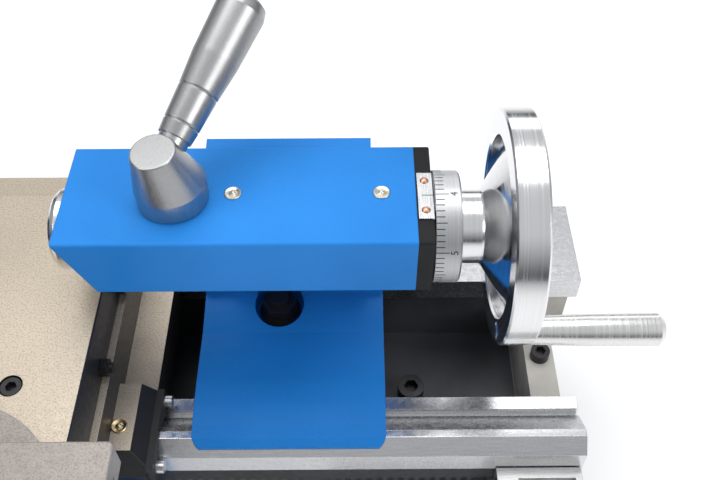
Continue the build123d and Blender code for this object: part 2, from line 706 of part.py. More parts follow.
# ============================================================ carriage
saddle_x = (carriage_x - saddle_half, carriage_x + saddle_half)
block_x = (carriage_x - block_half, carriage_x + block_half)
wing_y = (-92.0, -41.0)
saddle_rear = rear_way[1] + 12
underside = w + slide_gap
vee_gap = 0.35
with BuildPart() as saddle:
    wing_outline = [
        (saddle_x[0], w - 10),
        (saddle_x[1], w - 10),
        (saddle_x[1], w + wing_top - 8),
        (saddle_x[1] - 7.5, w + wing_top),
        (saddle_x[0] + 7.5, w + wing_top),
        (saddle_x[0], w + wing_top - 8),
    ]
    prism(wing_outline, along_x(0, wing_y[1], 0), wing_y[1] - wing_y[0])
    prism(wing_outline, along_x(0, saddle_rear, 0), saddle_rear - 70)
    block(saddle_x, (wing_y[1] - 1, 71), (underside, w + bridge_top))
    block(saddle_x, (flat_in + 2, rear_way[0] - 2), (w - 18, w + bridge_top))
    block(block_x, (-98, 72), (w + bridge_top - 1, w + block_top))
    male = [
        (-dovetail_half, w + block_top - 1),
        (-dovetail_half, w + block_top),
        (-dovetail_half - dovetail_flare, w + block_top + dovetail_rise),
        (dovetail_half + dovetail_flare, w + block_top + dovetail_rise),
        (dovetail_half, w + block_top),
        (dovetail_half, w + block_top - 1),
    ]
    prism([(carriage_x + x, z) for x, z in male], along_x(0, 72, 0), 170)
    # the front slopes away below its ground top, and hangs down to the apron
    shave = [
        (wing_y[0] - 1, w + wing_top - 14),
        (wing_y[0], w + wing_top - 14),
        (wing_y[0] + 10, w + wing_top + 1),
        (wing_y[0] - 1, w + wing_top + 1),
    ]
    for x in ((saddle_x[0] - 1, block_x[0]), (block_x[1], saddle_x[1] + 1)):
        prism(shave, Plane.YZ.offset(x[0]), x[1] - x[0], Mode.SUBTRACT)
    # underside: fits over the front vee and the rear flat way
    groove = [
        (wing_y[1] + 4, w - 11),
        (wing_y[1] + 4, underside),
        (vee_back + 0.7, underside),
        (vee_back + vee_gap, w - 1 + vee_gap),
        (vee_ridge_back + vee_gap / 2, vee_top + vee_gap),
        (vee_ridge_front - vee_gap / 2, vee_top + vee_gap),
        (vee_front - vee_gap * 1.6, w + 1 + vee_gap),
        (vee_front - vee_gap * 1.6, w - 11),
    ]
    prism(groove, Plane.YZ.offset(saddle_x[0] - 1), 2 * saddle_half + 2, Mode.SUBTRACT)
    rear_gap = (69, rear_way[1] + slide_gap)
    block((saddle_x[0] - 1, saddle_x[1] + 1), rear_gap, (w - 11, underside), Mode.SUBTRACT)
    lip_top = w - rear_way_thick - slide_gap
    lip_y = (rear_way[1] + slide_gap, saddle_rear)
    block(saddle_x, lip_y, (lip_top - 8, w))
    block(saddle_x, (rear_way[1] - 14, saddle_rear), (lip_top - 8, lip_top))
    # channel for the cross-feed screw, with its nut left standing in the middle
    screw_z = w + block_top + 6
    channel_x = (carriage_x - 13, carriage_x + 13)
    channel_z = (screw_z - 9, w + block_top + dovetail_rise + 1)
    block(channel_x, (-99, -12), channel_z, Mode.SUBTRACT)
    block(channel_x, (12, 73), channel_z, Mode.SUBTRACT)
    bar("y", (-13, 13), (carriage_x, screw_z), feed_screw_r + running_gap, Mode.SUBTRACT)
    for x in (saddle_x[0] + 15.9, saddle_x[1] - 15.9):
        bar("z", (w + wing_top - 5, w + wing_top + 1), (x, -68), 4.5, Mode.SUBTRACT)
save(saddle.part, "saddle")

wiper_thick = 4.0
wiper_ends = ((saddle_x[0] - wiper_thick, saddle_x[0]), (saddle_x[1], saddle_x[1] + wiper_thick))
with BuildPart() as way_wipers:
    for x in wiper_ends:
        front_wiper = [
            (flat_in, w + slide_gap),
            (flat_in, w + 12),
            (wing_y[0] + 2, w + 12),
            (wing_y[0] + 2, w - 10),
            (vee_front - 0.6, w - 10),
            (vee_front - 0.6, w + 1.4),
            (vee_ridge_front - 0.2, vee_top + 0.4),
            (vee_ridge_back + 0.2, vee_top + 0.4),
            (vee_back + 0.4, w - 0.6),
            (vee_back + 0.7, w + slide_gap),
        ]
        prism(front_wiper, Plane.YZ.offset(x[0]), wiper_thick)
        block(x, (74, rear_way[1] + 8), (w + slide_gap, w + 12))
save(way_wipers.part, "way_wipers")

with BuildPart() as wiper_screws:
    for x, way in ((wiper_ends[0], -1), (wiper_ends[1], 1)):
        head = (x[1], x[1] + 4.5) if way > 0 else (x[0] - 4.5, x[0])
        for place in ((-45, w + 6), (-84, w + 2), (84, w + 6), (108, w + 6)):
            bar("x", head, place, 3.6)
save(wiper_screws.part, "wiper_screws")

with BuildPart() as saddle_oilers:
    for x in (saddle_x[0] + 15.9, saddle_x[1] - 15.9):
        turned(
            [(-5, 0), (-5, 4.5), (0.5, 4.5), (0.9, 4.1), (0.5, 3.0), (0.2, 2.2), (0.8, 1.2), (1.0, 0)],
            along_z(x, -68, w + wing_top),
        )
save(saddle_oilers.part, "saddle_oilers")

apron_x = (saddle_x[0] + 6, saddle_x[1] - 3)
pinion_span = (front_wall[0] - rack_width + 0.5, front_wall[0] - 0.5)
nut_x = carriage_x + 44
nut_half = 16.0
lever_z = leadscrew_z + 34.0
with BuildPart() as apron:
    block(apron_x, apron_y, apron_z)
    fillet(apron.edges().filter_by(Axis.Z).group_by(Axis.Y)[0], 12)
    fillet(apron.edges().group_by(Axis.Y)[0], 2.5)
    pocket_x = (apron_x[0] + apron_wall, apron_x[1] - apron_wall)
    pocket_z = (apron_z[0] + 6, apron_z[1] - 8)
    block(pocket_x, (apron_y[0] + 8, apron_y[1] + 1), pocket_z, Mode.SUBTRACT)
    web_x = (handwheel_x + nut_x) / 2
    block((web_x - 4, web_x + 4), (apron_y[0] + 1, apron_y[1]), (apron_z[0] + 5, apron_z[1] - 7))
    slot_z = (leadscrew_z - leadscrew_r - 2, leadscrew_z + leadscrew_r + 2)
    slot_y = (leadscrew_y - leadscrew_r - 2, apron_y[1] + 1)
    block((apron_x[0] - 1, apron_x[1] + 1), slot_y, slot_z, Mode.SUBTRACT)
    bar("y", (apron_y[0] - 1, apron_y[0] + 9), (handwheel_x, pinion_z), 7 + running_gap, Mode.SUBTRACT)
    bar("y", (apron_y[0] - 1, apron_y[0] + 9), (nut_x, lever_z), 6 + running_gap, Mode.SUBTRACT)
save(apron.part, "apron")

with BuildPart() as rack_pinion:
    pinion_phase = pi / 2
    prism(
        [(handwheel_x + x, pinion_z + z) for x, z in gear_points(rack_module, pinion_teeth, pinion_phase)],
        along_x(0, pinion_span[1], 0),
        pinion_span[1] - pinion_span[0],
    )
    bar("y", (apron_y[0] - 30, pinion_span[0] + 1), (handwheel_x, pinion_z), 7)
save(rack_pinion.part, "rack_pinion")

apron_grip_orbit = 34.0
apron_grip_angle = radians(235)
apron_grip = (
    handwheel_x + apron_grip_orbit * cos(apron_grip_angle),
    pinion_z + apron_grip_orbit * sin(apron_grip_angle),
)
with BuildPart() as apron_handwheel:
    turned(
        [(1, 7), (1, 15), (6, 15), (6, 30), (2, 36), (2, 40), (4, 42), (12, 42), (14, 40), (14, 33), (10, 30),
         (10, 15), (22, 12), (23, 7)],
        along_y(handwheel_x, apron_y[0], pinion_z),
    )
    bar("y", (apron_y[0] - 15, apron_y[0] - 1), apron_grip, 4 + running_gap, Mode.SUBTRACT)
save(apron_handwheel.part, "apron_handwheel")

with BuildPart() as apron_wheel_handle:
    turned(
        [(3, 0), (3, 4), (14.3, 4), (14.3, 7), (24, 8), (46, 10), (54, 9.5), (58, 6), (59, 0)],
        along_y(apron_grip[0], apron_y[0], apron_grip[1]),
    )
save(apron_wheel_handle.part, "apron_wheel_handle")

nut_drop = 6.0
with BuildPart() as half_nut:
    block(
        (nut_x - nut_half, nut_x + nut_half),
        (leadscrew_y - 12, leadscrew_y + 6),
        (leadscrew_z + leadscrew_r - 4 + nut_drop, leadscrew_z + leadscrew_r + 14),
    )
    nut_bore = (leadscrew_y, leadscrew_z + nut_drop + 0.6)
    bar("x", (nut_x - nut_half - 1, nut_x + nut_half + 1), nut_bore, leadscrew_r + 0.2, Mode.SUBTRACT)
save(half_nut.part, "half_nut")

with BuildPart() as half_nut_lever:
    turned(
        [(-12, 0), (-12, 6), (0.6, 6), (0.6, 13), (18, 12), (20, 10), (20, 0)],
        along_y(nut_x, apron_y[0], lever_z),
    )
    lever_plane = Plane(origin=(nut_x, apron_y[0] - 13, lever_z), x_dir=(0, 0, -1), z_dir=(0, 1, 0))
    turned([(0, 0), (0, 5), (36, 5), (42, 8), (58, 9.5), (62, 7), (63, 0)], lever_plane)
save(half_nut_lever.part, "half_nut_lever")

slide_x = (carriage_x - slide_half, carriage_x + slide_half)
slide_y = (-206.0, 62.0)
slide_bottom = w + block_top + slide_gap
slide_z = w + slide_top
side_screws = (-46.0, 10.0, -104.0)
with BuildPart() as cross_slide:
    block(slide_x, slide_y, (slide_bottom, slide_z))
    fillet(cross_slide.edges().filter_by(Axis.Z), 3)
    chamfer(cross_slide.faces().sort_by(Axis.Z)[-1].edges(), 0.8)
    female = [
        (-dovetail_half - slide_gap, slide_bottom - 1),
        (-dovetail_half - slide_gap, slide_bottom),
        (-dovetail_half - dovetail_flare - 2 * slide_gap, w + block_top + dovetail_rise + slide_gap),
        (dovetail_half + dovetail_flare + 2 * slide_gap, w + block_top + dovetail_rise + slide_gap),
        (dovetail_half + slide_gap, slide_bottom),
        (dovetail_half + slide_gap, slide_bottom - 1),
    ]
    groove = [(carriage_x + x, z) for x, z in female]
    prism(groove, along_x(0, slide_y[1] + 1, 0), slide_y[1] - slide_y[0] + 2, Mode.SUBTRACT)
    block((carriage_x - 24, carriage_x + 24), (slide_y[0] - 10, slide_y[0]), (screw_z - 14, slide_z - 3))
    fillet(cross_slide.edges().filter_by(Axis.Y).group_by(Axis.Z)[0], 5)
    screw_hole = feed_screw_r + running_gap
    bar("y", (slide_y[0] - 11, slide_y[0] + 1), (carriage_x, screw_z), screw_hole, Mode.SUBTRACT)
    for x in (carriage_x - 24, carriage_x + 24):
        bar("z", (slide_z - 7, slide_z + 1), (x, -71), 6.2, Mode.SUBTRACT)
    for y in side_screws:
        bar("x", (slide_x[1] - 9, slide_x[1] + 1), (y, w + 46), 3, Mode.SUBTRACT)
save(cross_slide.part, "cross_slide")

with BuildPart() as gib_screws:
    for y in side_screws:
        bar("x", (slide_x[1] - 9, slide_x[1] + 7), (y, w + 46), 3)
        with BuildSketch(Plane.YZ.offset(slide_x[1])) as lock_hex:
            with Locations((y, w + 46)):
                RegularPolygon(5.6, 6)
        extrude(lock_hex.sketch, amount=4.5)
    for x in (carriage_x - 24, carriage_x + 24):
        bar("z", (slide_z - 7, slide_z - 0.6), (x, -71), 5.4)
        with BuildSketch(Plane.XY.offset(slide_z - 0.6)) as cap_socket:
            with Locations((x, -71)):
                RegularPolygon(3.0, 6)
        extrude(cap_socket.sketch, amount=-3.5, mode=Mode.SUBTRACT)
save(gib_screws.part, "gib_screws")

feed_end = slide_y[0] - 10
crank_arm = 30.0
with BuildPart() as cross_feed_screw:
    bar("y", (feed_end - 40, 44), (carriage_x, screw_z), feed_screw_r)
save(cross_feed_screw.part, "cross_feed_screw")

with BuildPart() as cross_feed_crank:
    turned(
        [(0.6, feed_screw_r), (0.6, 19), (16, 20), (18, 18), (18, 10), (34, 9), (42, 9), (42, feed_screw_r)],
        along_y(carriage_x, feed_end, screw_z),
    )
    crank_plane = Plane(origin=(carriage_x, feed_end - 34, screw_z), x_dir=(1, 0, 0), z_dir=(0, -1, 0))
    with BuildSketch(crank_plane) as crank_web:
        with Locations((0, -crank_arm / 2 - 4)):
            SlotCenterToCenter(crank_arm - 8, 13, rotation=90)
    extrude(crank_web.sketch, amount=7)
    turned(
        [(34, 0), (34, 4), (43, 5.5), (64, 8), (68, 6), (69, 0)],
        along_y(carriage_x, feed_end, screw_z - crank_arm),
    )
    bar("y", (feed_end - 40, feed_end), (carriage_x, screw_z), feed_screw_r, Mode.SUBTRACT)
save(cross_feed_crank.part, "cross_feed_crank")

swivel_top = slide_z + swivel_thick
rail_top = swivel_top + 8.0
rail_x = (top_slide_x[0] + 6, top_slide_x[1] - 66)
with BuildPart() as compound_base:
    bar("z", (slide_z + slide_gap, swivel_top), (carriage_x, swivel_y), swivel_r)
    rail = [
        (swivel_y - 14, swivel_top - 1),
        (swivel_y - 14, swivel_top),
        (swivel_y - 18, rail_top),
        (swivel_y + 18, rail_top),
        (swivel_y + 14, swivel_top),
        (swivel_y + 14, swivel_top - 1),
    ]
    prism(rail, Plane.YZ.offset(rail_x[0]), rail_x[1] - rail_x[0])
    screw_way = (swivel_y - 8, swivel_y + 8)
    block((rail_x[0] - 1, rail_x[1] + 1), screw_way, (rail_top - 6.5, rail_top + 1), Mode.SUBTRACT)
save(compound_base.part, "compound_base")

top_z = w + top_slide_top
top_y = (swivel_y - top_slide_half, swivel_y + top_slide_half)
top_screw_z = rail_top + 3.6
with BuildPart() as top_slide:
    block(top_slide_x, top_y, (swivel_top + slide_gap, top_z))
    fillet(top_slide.edges().filter_by(Axis.Z), 3)
    fillet(top_slide.faces().sort_by(Axis.Z)[-1].edges(), 0.8)
    rail_slot = [
        (swivel_y - 14 - slide_gap, swivel_top - 1),
        (swivel_y - 14 - slide_gap, swivel_top + slide_gap),
        (swivel_y - 18 - 2 * slide_gap, rail_top + slide_gap),
        (swivel_y + 18 + 2 * slide_gap, rail_top + slide_gap),
        (swivel_y + 14 + slide_gap, swivel_top + slide_gap),
        (swivel_y + 14 + slide_gap, swivel_top - 1),
    ]
    prism(rail_slot, Plane.YZ.offset(top_slide_x[0] - 1), 300, Mode.SUBTRACT)
    bore_x = (top_slide_x[0] + 20, top_slide_x[1] + 1)
    bar("x", bore_x, (swivel_y, top_screw_z), 4 + running_gap, Mode.SUBTRACT)
save(top_slide.part, "top_slide")

with BuildPart() as top_slide_screw:
    bar("x", (top_slide_x[0] + 28, top_slide_x[1] + 36), (swivel_y, top_screw_z), 4)
save(top_slide_screw.part, "top_slide_screw")

top_arm = 26.0
with BuildPart() as top_slide_crank:
    turned(
        [(0.6, 4), (0.6, 11), (13, 11), (14, 10), (14, 8), (32, 7), (33, 4)],
        along_x(top_slide_x[1], swivel_y, top_screw_z),
    )
    web_start = (top_slide_x[1] + 25, swivel_y, top_screw_z)
    web_plane = Plane(origin=web_start, x_dir=(0, 1, 0), z_dir=(1, 0, 0))
    with BuildSketch(web_plane) as top_web:
        SlotCenterPoint((-top_arm / 2, 0), (-top_arm, 0), 11)
    extrude(top_web.sketch, amount=7)
    turned(
        [(32, 0), (32, 3), (34, 4), (52, 6.5), (56, 5), (57, 0)],
        along_x(top_slide_x[1], swivel_y - top_arm + 1, top_screw_z),
    )
    bar("x", (top_slide_x[1], top_slide_x[1] + 34), (swivel_y, top_screw_z), 4, Mode.SUBTRACT)
save(top_slide_crank.part, "top_slide_crank")

post_z = (top_z + slide_gap, top_z + slide_gap + post_height)
slot_floor = post_z[0] + 9
slot_roof = slot_floor + 18
with BuildPart() as tool_post:
    block((post_x - post_half, post_x + post_half), (swivel_y - post_half, swivel_y + post_half), post_z)
    for side in (1, -1):
        edge = post_half - 11
        block(
            sorted((post_x + side * edge, post_x + side * (post_half + 1))),
            (swivel_y - post_half - 1, swivel_y + post_half + 1),
            (slot_floor, slot_roof),
            Mode.SUBTRACT,
        )
        block(
            (post_x - post_half - 1, post_x + post_half + 1),
            sorted((swivel_y + side * edge, swivel_y + side * (post_half + 1))),
            (slot_floor, slot_roof),
            Mode.SUBTRACT,
        )
    chamfer(tool_post.faces().sort_by(Axis.Z)[-1].edges(), 1)
    tool_screw_places = []
    for quarter in range(4):
        turn = quarter * pi / 2
        for along in (-18, 0):
            across = post_half - 5.5
            tool_screw_places.append(
                (
                    post_x + across * cos(turn) - along * sin(turn),
                    swivel_y + across * sin(turn) + along * cos(turn),
                )
            )
    for place in tool_screw_places:
        bar("z", (slot_roof - 1, post_z[1] + 1), place, 3.5, Mode.SUBTRACT)
save(tool_post.part, "tool_post")

with BuildPart() as tool_screws:
    for place in tool_screw_places:
        bar("z", (slot_roof - 3, post_z[1] + 6), place, 3.5)
        with BuildSketch(Plane.XY.offset(post_z[1] + 6)) as square_head:
            with Locations(place):
                Rectangle(6.5, 6.5)
        extrude(square_head.sketch, amount=6)
save(tool_screws.part, "tool_screws")

with BuildPart() as tool_post_handle:
    turned(
        [(0.3, 0), (0.3, 10), (3, 13), (14, 13), (22, 10), (24, 8), (24, 0)],
        along_z(post_x, swivel_y, post_z[1]),
    )
    swing = Plane(origin=(post_x, swivel_y, post_z[1] + 12), x_dir=(-0.62, -0.62, 0.48), z_dir=(1, -1, 0))
    turned([(9, 0), (9, 5), (50, 6), (52, 10), (70, 11), (76, 8), (78, 0)], swing)
save(tool_post_handle.part, "tool_post_handle")

# ============================================================ tailstock
body_right = tailstock_x
body_left = body_right - body_length
side_bottom = body_top - body_side
belly = side_bottom - 13.5
base_right = body_right - base_overhang
base_left = base_right - base_length
pedestal_x = (body_right - pedestal_right - pedestal_length, body_right - pedestal_right)
split_z = w + 30.0
lock_axis_x = body_right - lock_x
oiler_x = (body_right - 92.2, body_right - 17.3)
body_top_z = axis_z + body_top

with BuildPart() as tailstock_body:
    body_outline = [
        (-body_half, body_top_z),
        (body_half, body_top_z),
        (body_half, axis_z + side_bottom),
        (body_half - 13.5, axis_z + belly),
        (13.5 - body_half, axis_z + belly),
        (-body_half, axis_z + side_bottom),
    ]
    prism(body_outline, Plane.YZ.offset(body_left), body_length)
    nose = [
        (body_left - 1, body_top_z + 1),
        (body_left - 0.4, body_top_z + 1),
        (body_left + body_nose_cut, axis_z + side_bottom),
        (body_left + body_nose_cut + 5.4, axis_z + belly - 1),
        (body_left - 1, axis_z + belly - 1),
    ]
    prism(nose, along_x(0, body_half + 1, 0), 2 * body_half + 2, Mode.SUBTRACT)
    pedestal_outline = [
        (body_half + 10, body_top_z - 2.5),
        (body_half + 10, axis_z - 42),
        (rear_way[0] + 18, w + 44),
        (rear_way[0] + 18, split_z),
        (24.0, split_z),
        (24.0, axis_z + belly - 6),
        (13.0, axis_z + belly + 1),
        (13.0, body_top_z - 6),
    ]
    prism(pedestal_outline, Plane.YZ.offset(pedestal_x[0]), pedestal_length)
    long_edges = tailstock_body.edges().filter_by(Axis.X)
    fillet(long_edges.filter_by_position(Axis.Z, axis_z + side_bottom - 1, body_top_z + 1), 1.6)
    bar("x", (body_left - 1, body_right - 14), (0, axis_z), quill_r + running_gap, Mode.SUBTRACT)
    bar("x", (body_right - 15, body_right + 1), (0, axis_z), 15, Mode.SUBTRACT)
    for x in oiler_x:
        bar("z", (axis_z + quill_r + 1, body_top_z + 1), (x, 0), oiler_r, Mode.SUBTRACT)
    bar("z", (axis_z + 10, body_top_z + 1), (lock_axis_x, lock_y), 5 + running_gap, Mode.SUBTRACT)
save(tailstock_body.part, "tailstock_body")

quill_left = body_left - quill_proud
with BuildPart() as tailstock_quill:
    quill_outline = [
        (quill_left, 8.9),
        (quill_left, quill_r - 2.5),
        (quill_left + 1.5, quill_r - 1),
        (quill_left + 3.5, quill_r),
        (quill_left + quill_length - 1, quill_r),
        (quill_left + quill_length, quill_r - 1),
        (quill_left + quill_length, quill_screw_r + 0.5),
        (quill_left + quill_length - 76, quill_screw_r + 0.5),
        (quill_left + quill_length - 78, 7.4),
        (quill_left + 64, 7.4),
    ]
    turned(quill_outline, along_x(0, 0, axis_z))
save(tailstock_quill.part, "tailstock_quill")

cap_right = body_right + cap_thick
dial_right = cap_right + dial_width
hub_right = dial_right + 12.0
rim_left = body_right + 43.3
rim_right = rim_left + 16.5
with BuildPart() as quill_screw:
    collar = (body_right - 12, body_right - slide_gap)
    screw_left = quill_left + quill_length - 70
    bar("x", (screw_left, hub_right + 12), (0, axis_z), quill_screw_r)
    bar("x", collar, (0, axis_z), 13)
save(quill_screw.part, "quill_screw")

with BuildPart() as tailstock_end_cap:
    prism(body_outline, Plane.YZ.offset(body_right), cap_thick)
    fillet(tailstock_end_cap.edges().filter_by(Axis.X), 1.6)
    chamfer(tailstock_end_cap.faces().sort_by(Axis.X)[-1].edges(), 0.6)
    bar("x", (body_right - 1, cap_right + 1), (0, axis_z), quill_screw_r + running_gap, Mode.SUBTRACT)
save(tailstock_end_cap.part, "tailstock_end_cap")

plate_y = (-18.4, 12.5)
plate_middle = body_right + 4.4
with BuildPart() as index_plate:
    block((body_right + 0.7, cap_right + 0.1), plate_y, (body_top_z + 0.05, body_top_z + 1.05))
    for y in (plate_y[0] + 5.5, plate_y[1] - 5.5):
        bar("z", (body_top_z, body_top_z + 2), (plate_middle, y), 1.6, Mode.SUBTRACT)
save(index_plate.part, "index_plate")

with BuildPart() as index_rivets:
    for y in (plate_y[0] + 5.5, plate_y[1] - 5.5):
        turned(
            [(0.05, 0), (0.05, 1.6), (1.06, 1.6), (1.06, 2.3), (1.8, 1.8), (2.2, 1.0), (2.35, 0)],
            along_z(plate_middle, y, body_top_z),
        )
save(index_rivets.part, "index_rivets")

with BuildPart() as quill_dial:
    turned(
        [
            (cap_right + 0.4, quill_screw_r),
            (cap_right + 0.4, dial_r - 0.8),
            (cap_right + 1.2, dial_r),
            (dial_right - 0.8, dial_r),
            (dial_right, dial_r - 0.8),
            (dial_right, quill_screw_r),
        ],
        along_x(0, 0, axis_z),
    )
save(quill_dial.part, "quill_dial")

grip_y = grip_orbit * cos(radians(grip_angle))
grip_z = axis_z + grip_orbit * sin(radians(grip_angle))
with BuildPart() as tailstock_handwheel:
    wheel_outline = [
        (dial_right + 0.05, quill_screw_r),
        (dial_right + 0.05, wheel_hub_r - 0.8),
        (dial_right + 0.85, wheel_hub_r),
        (hub_right - 1, wheel_hub_r),
        (hub_right, wheel_hub_r + 0.5),
        (rim_left + 7.5, wheel_rim_in - 3),
        (rim_left + 8.2, wheel_rim_in - 1.5),
        (rim_left + 8.2, wheel_rim_in),
        (rim_left + 1, wheel_rim_in),
        (rim_left, wheel_rim_in + 1),
        (rim_left, wheel_r - 1),
        (rim_left + 1, wheel_r),
        (rim_right - 1.2, wheel_r),
        (rim_right, wheel_r - 1.2),
        (rim_right, wheel_rim_in + 1),
        (rim_right - 1, wheel_rim_in),
        (rim_right - 1.5, wheel_rim_in - 2),
        (hub_right + 9, wheel_hub_r - 2),
        (hub_right + 12, wheel_hub_r - 3),
        (hub_right + 12, quill_screw_r),
    ]
    turned(wheel_outline, along_x(0, 0, axis_z))
    bar("x", (rim_left - 1, rim_right + 1), (grip_y, grip_z), 4.5 + running_gap, Mode.SUBTRACT)
save(tailstock_handwheel.part, "tailstock_handwheel")

with BuildPart() as tailstock_wheel_handle:
    turned(
        [
            (rim_left - 0.6, 0),
            (rim_left - 0.6, 3.2),
            (rim_left + 0.4, 4.5),
            (rim_right + 0.3, 4.5),
            (rim_right + 0.3, 7.5),
            (rim_right + 31, 8.5),
            (rim_right + 68.5, 8.8),
            (rim_right + 71.5, 6.0),
            (rim_right + 71.7, 0),
        ],
        along_x(0, grip_y, grip_z),
    )
save(tailstock_wheel_handle.part, "tailstock_wheel_handle")

lock_base = body_top_z + 0.15
rod_dir = Vector(
    cos(radians(lock_rise)) * cos(radians(lock_heading)),
    cos(radians(lock_rise)) * sin(radians(lock_heading)),
    sin(radians(lock_rise)),
)
rod_start = Vector(lock_axis_x - 2.5, lock_y - 1.5, lock_base + 23.5)
rod_plane = Plane(
    origin=rod_start,
    x_dir=rod_dir,
    z_dir=Vector(-sin(radians(lock_heading)), cos(radians(lock_heading)), 0),
)
with BuildPart() as quill_lock_hub:
    bar("z", (lock_base, lock_base + 12), (lock_axis_x, lock_y), 18)
    chamfer(quill_lock_hub.edges().sort_by(Axis.Z)[0], 1)
    with BuildSketch(Plane.XY.offset(lock_base + 12)) as cone_foot:
        with Locations((lock_axis_x, lock_y)):
            Circle(18)
    cone_tilt = Plane(
        origin=(lock_axis_x - 3.6, lock_y - 3.0, lock_base + 35.5),
        x_dir=(1, 0, 0.09),
        z_dir=(-0.09, -0.08, 1),
    )
    with BuildSketch(cone_tilt) as cone_head:
        Circle(11)
    loft([cone_foot.sketch, cone_head.sketch])
    fillet(quill_lock_hub.edges().sort_by(Axis.Z)[-1], 0.8)
    bar("z", (axis_z + quill_r + slide_gap, lock_base + 1), (lock_axis_x, lock_y), 5)
    turned([(0, 0), (0, 6), (7, 6), (7, 7.7), (40, 7.7), (40, 0)], rod_plane, Mode.SUBTRACT)
save(quill_lock_hub.part, "quill_lock_hub")

with BuildPart() as quill_lock_rod:
    turned(
        [
            (1, 0),
            (1, 5.95),
            (7.2, 5.95),
            (7.2, 7.65),
            (15.8, 7.65),
            (16, 8.6),
            (22.5, 9.2),
            (23.2, 8.7),
            (24.0, 9.3),
            (40.5, 10.2),
            (41.3, 9.7),
            (42.1, 10.4),
            (60, 12.0),
            (88, 12.9),
            (93, 11.6),
            (95, 8.8),
            (lock_rod_length, 0),
        ],
        rod_plane,
    )
save(quill_lock_rod.part, "quill_lock_rod")

with BuildPart() as tailstock_oilers:
    for x in oiler_x:
        turned(
            [(-3.5, 0), (-3.5, 4.3), (0.3, 4.3), (0.6, 3.9), (0.3, 3.0), (0, 2.3), (0.5, 1.3), (0.7, 0)],
            along_z(x, 0, body_top_z),
        )
save(tailstock_oilers.part, "tailstock_oilers")

clamp_axis_x = body_right - clamp_x
plate_top = w - 25.5         # the clamp plate hangs just clear of the ways
plate_thick = 9.0
clamp_seat = w + 11.0
with BuildPart() as tailstock_base:
    base_outline = [
        (rear_way[0] + 18, w),
        (rear_way[0] + 18, split_z),
        (22.0, split_z),
        (22.0, w + 20.5),
        (-4.0, w + 16.0),
        (-37.0, w + 16.0),
        (-52.0, w + 14.6),
        (-64.0, w + 12.8),
        (-71.5, w + 10.6),
        (-75.4, w + 7.2),
        (-75.4, w + 4.9),
        (vee_ridge_front - 0.1, vee_top + 0.4),
        (vee_ridge_back + 0.1, vee_top + 0.4),
        (vee_back + 0.5, w - 0.4),
        (vee_back + 0.5, w),
    ]
    prism(base_outline, Plane.YZ.offset(base_left), base_length)
    corner = Plane.XY.offset(w + 4)
    for x, turn in ((base_left, 0), (base_right, 90)):
        with BuildSketch(corner) as corner_waste:
            with Locations((x, -76)):
                Rectangle(14, 14)
            with Locations((x + (7 if turn == 0 else -7), -69)):
                Circle(7, mode=Mode.SUBTRACT)
        extrude(corner_waste.sketch, amount=30, mode=Mode.SUBTRACT)
    bar("z", (clamp_seat, split_z + 1), (clamp_axis_x, clamp_y), 15, Mode.SUBTRACT)
    bar("z", (w - 1, clamp_seat + 1), (clamp_axis_x, clamp_y), clamp_bolt_r + loose_gap, Mode.SUBTRACT)
    tenon_y = (flat_in + 0.6, rear_way[0] - 0.6)
    block((base_left + 12, base_right - 12), (tenon_y[0], tenon_y[0] + 12), (w - 6, w + 1))
    block((base_left + 12, base_right - 12), (tenon_y[1] - 12, tenon_y[1]), (w - 6, w + 1))
save(tailstock_base.part, "tailstock_base")

with BuildPart() as tailstock_clamp_bolt:
    head_bottom_z = plate_top - plate_thick - 8
    bar("z", (head_bottom_z, clamp_seat + 17), (clamp_axis_x, clamp_y), clamp_bolt_r)
    bar("z", (clamp_seat, clamp_seat + 2.5), (clamp_axis_x, clamp_y), 12.5)
    for z, tall in ((clamp_seat + 2.5, 10), (head_bottom_z, 8)):
        with BuildSketch(Plane.XY.offset(z)) as clamp_hex:
            with Locations((clamp_axis_x, clamp_y)):
                RegularPolygon(10.6, 6)
        extrude(clamp_hex.sketch, amount=tall)
save(tailstock_clamp_bolt.part, "tailstock_clamp_bolt")

with BuildPart() as tailstock_clamp_plate:
    plate_z = (plate_top - plate_thick, plate_top)
    block((clamp_axis_x - 24, clamp_axis_x + 24), (front_wall[1] + 2, rear_wall[0] - 2), plate_z)
    clamp_hole = clamp_bolt_r + loose_gap
    bar("z", (plate_z[0] - 1, plate_top + 1), (clamp_axis_x, clamp_y), clamp_hole, Mode.SUBTRACT)
save(tailstock_clamp_plate.part, "tailstock_clamp_plate")
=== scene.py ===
import json
from math import cos, pi, radians, sin

import bpy
from mathutils import Euler, Matrix, Vector


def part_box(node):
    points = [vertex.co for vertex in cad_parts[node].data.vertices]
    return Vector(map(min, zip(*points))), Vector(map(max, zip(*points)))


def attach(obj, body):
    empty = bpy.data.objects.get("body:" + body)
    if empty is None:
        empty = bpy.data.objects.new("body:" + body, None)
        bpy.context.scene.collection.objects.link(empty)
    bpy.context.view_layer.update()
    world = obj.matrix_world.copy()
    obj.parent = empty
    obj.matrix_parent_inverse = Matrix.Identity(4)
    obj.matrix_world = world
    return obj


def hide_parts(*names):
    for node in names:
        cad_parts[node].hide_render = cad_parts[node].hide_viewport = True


# A bench metal lathe. The frame is in metres: X along the bed, Y away from the operator, Z up.
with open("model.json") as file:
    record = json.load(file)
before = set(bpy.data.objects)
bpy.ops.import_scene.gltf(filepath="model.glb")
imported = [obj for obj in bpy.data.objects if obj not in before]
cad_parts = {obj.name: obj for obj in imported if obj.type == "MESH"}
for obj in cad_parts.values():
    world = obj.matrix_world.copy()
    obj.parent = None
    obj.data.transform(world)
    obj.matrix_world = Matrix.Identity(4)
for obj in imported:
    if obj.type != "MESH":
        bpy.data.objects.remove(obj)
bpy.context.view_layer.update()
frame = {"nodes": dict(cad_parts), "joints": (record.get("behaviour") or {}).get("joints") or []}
MM = 0.001
STEEL_EDGE = 0.4 * MM        # how far the edges of metal and plastic pieces are eased

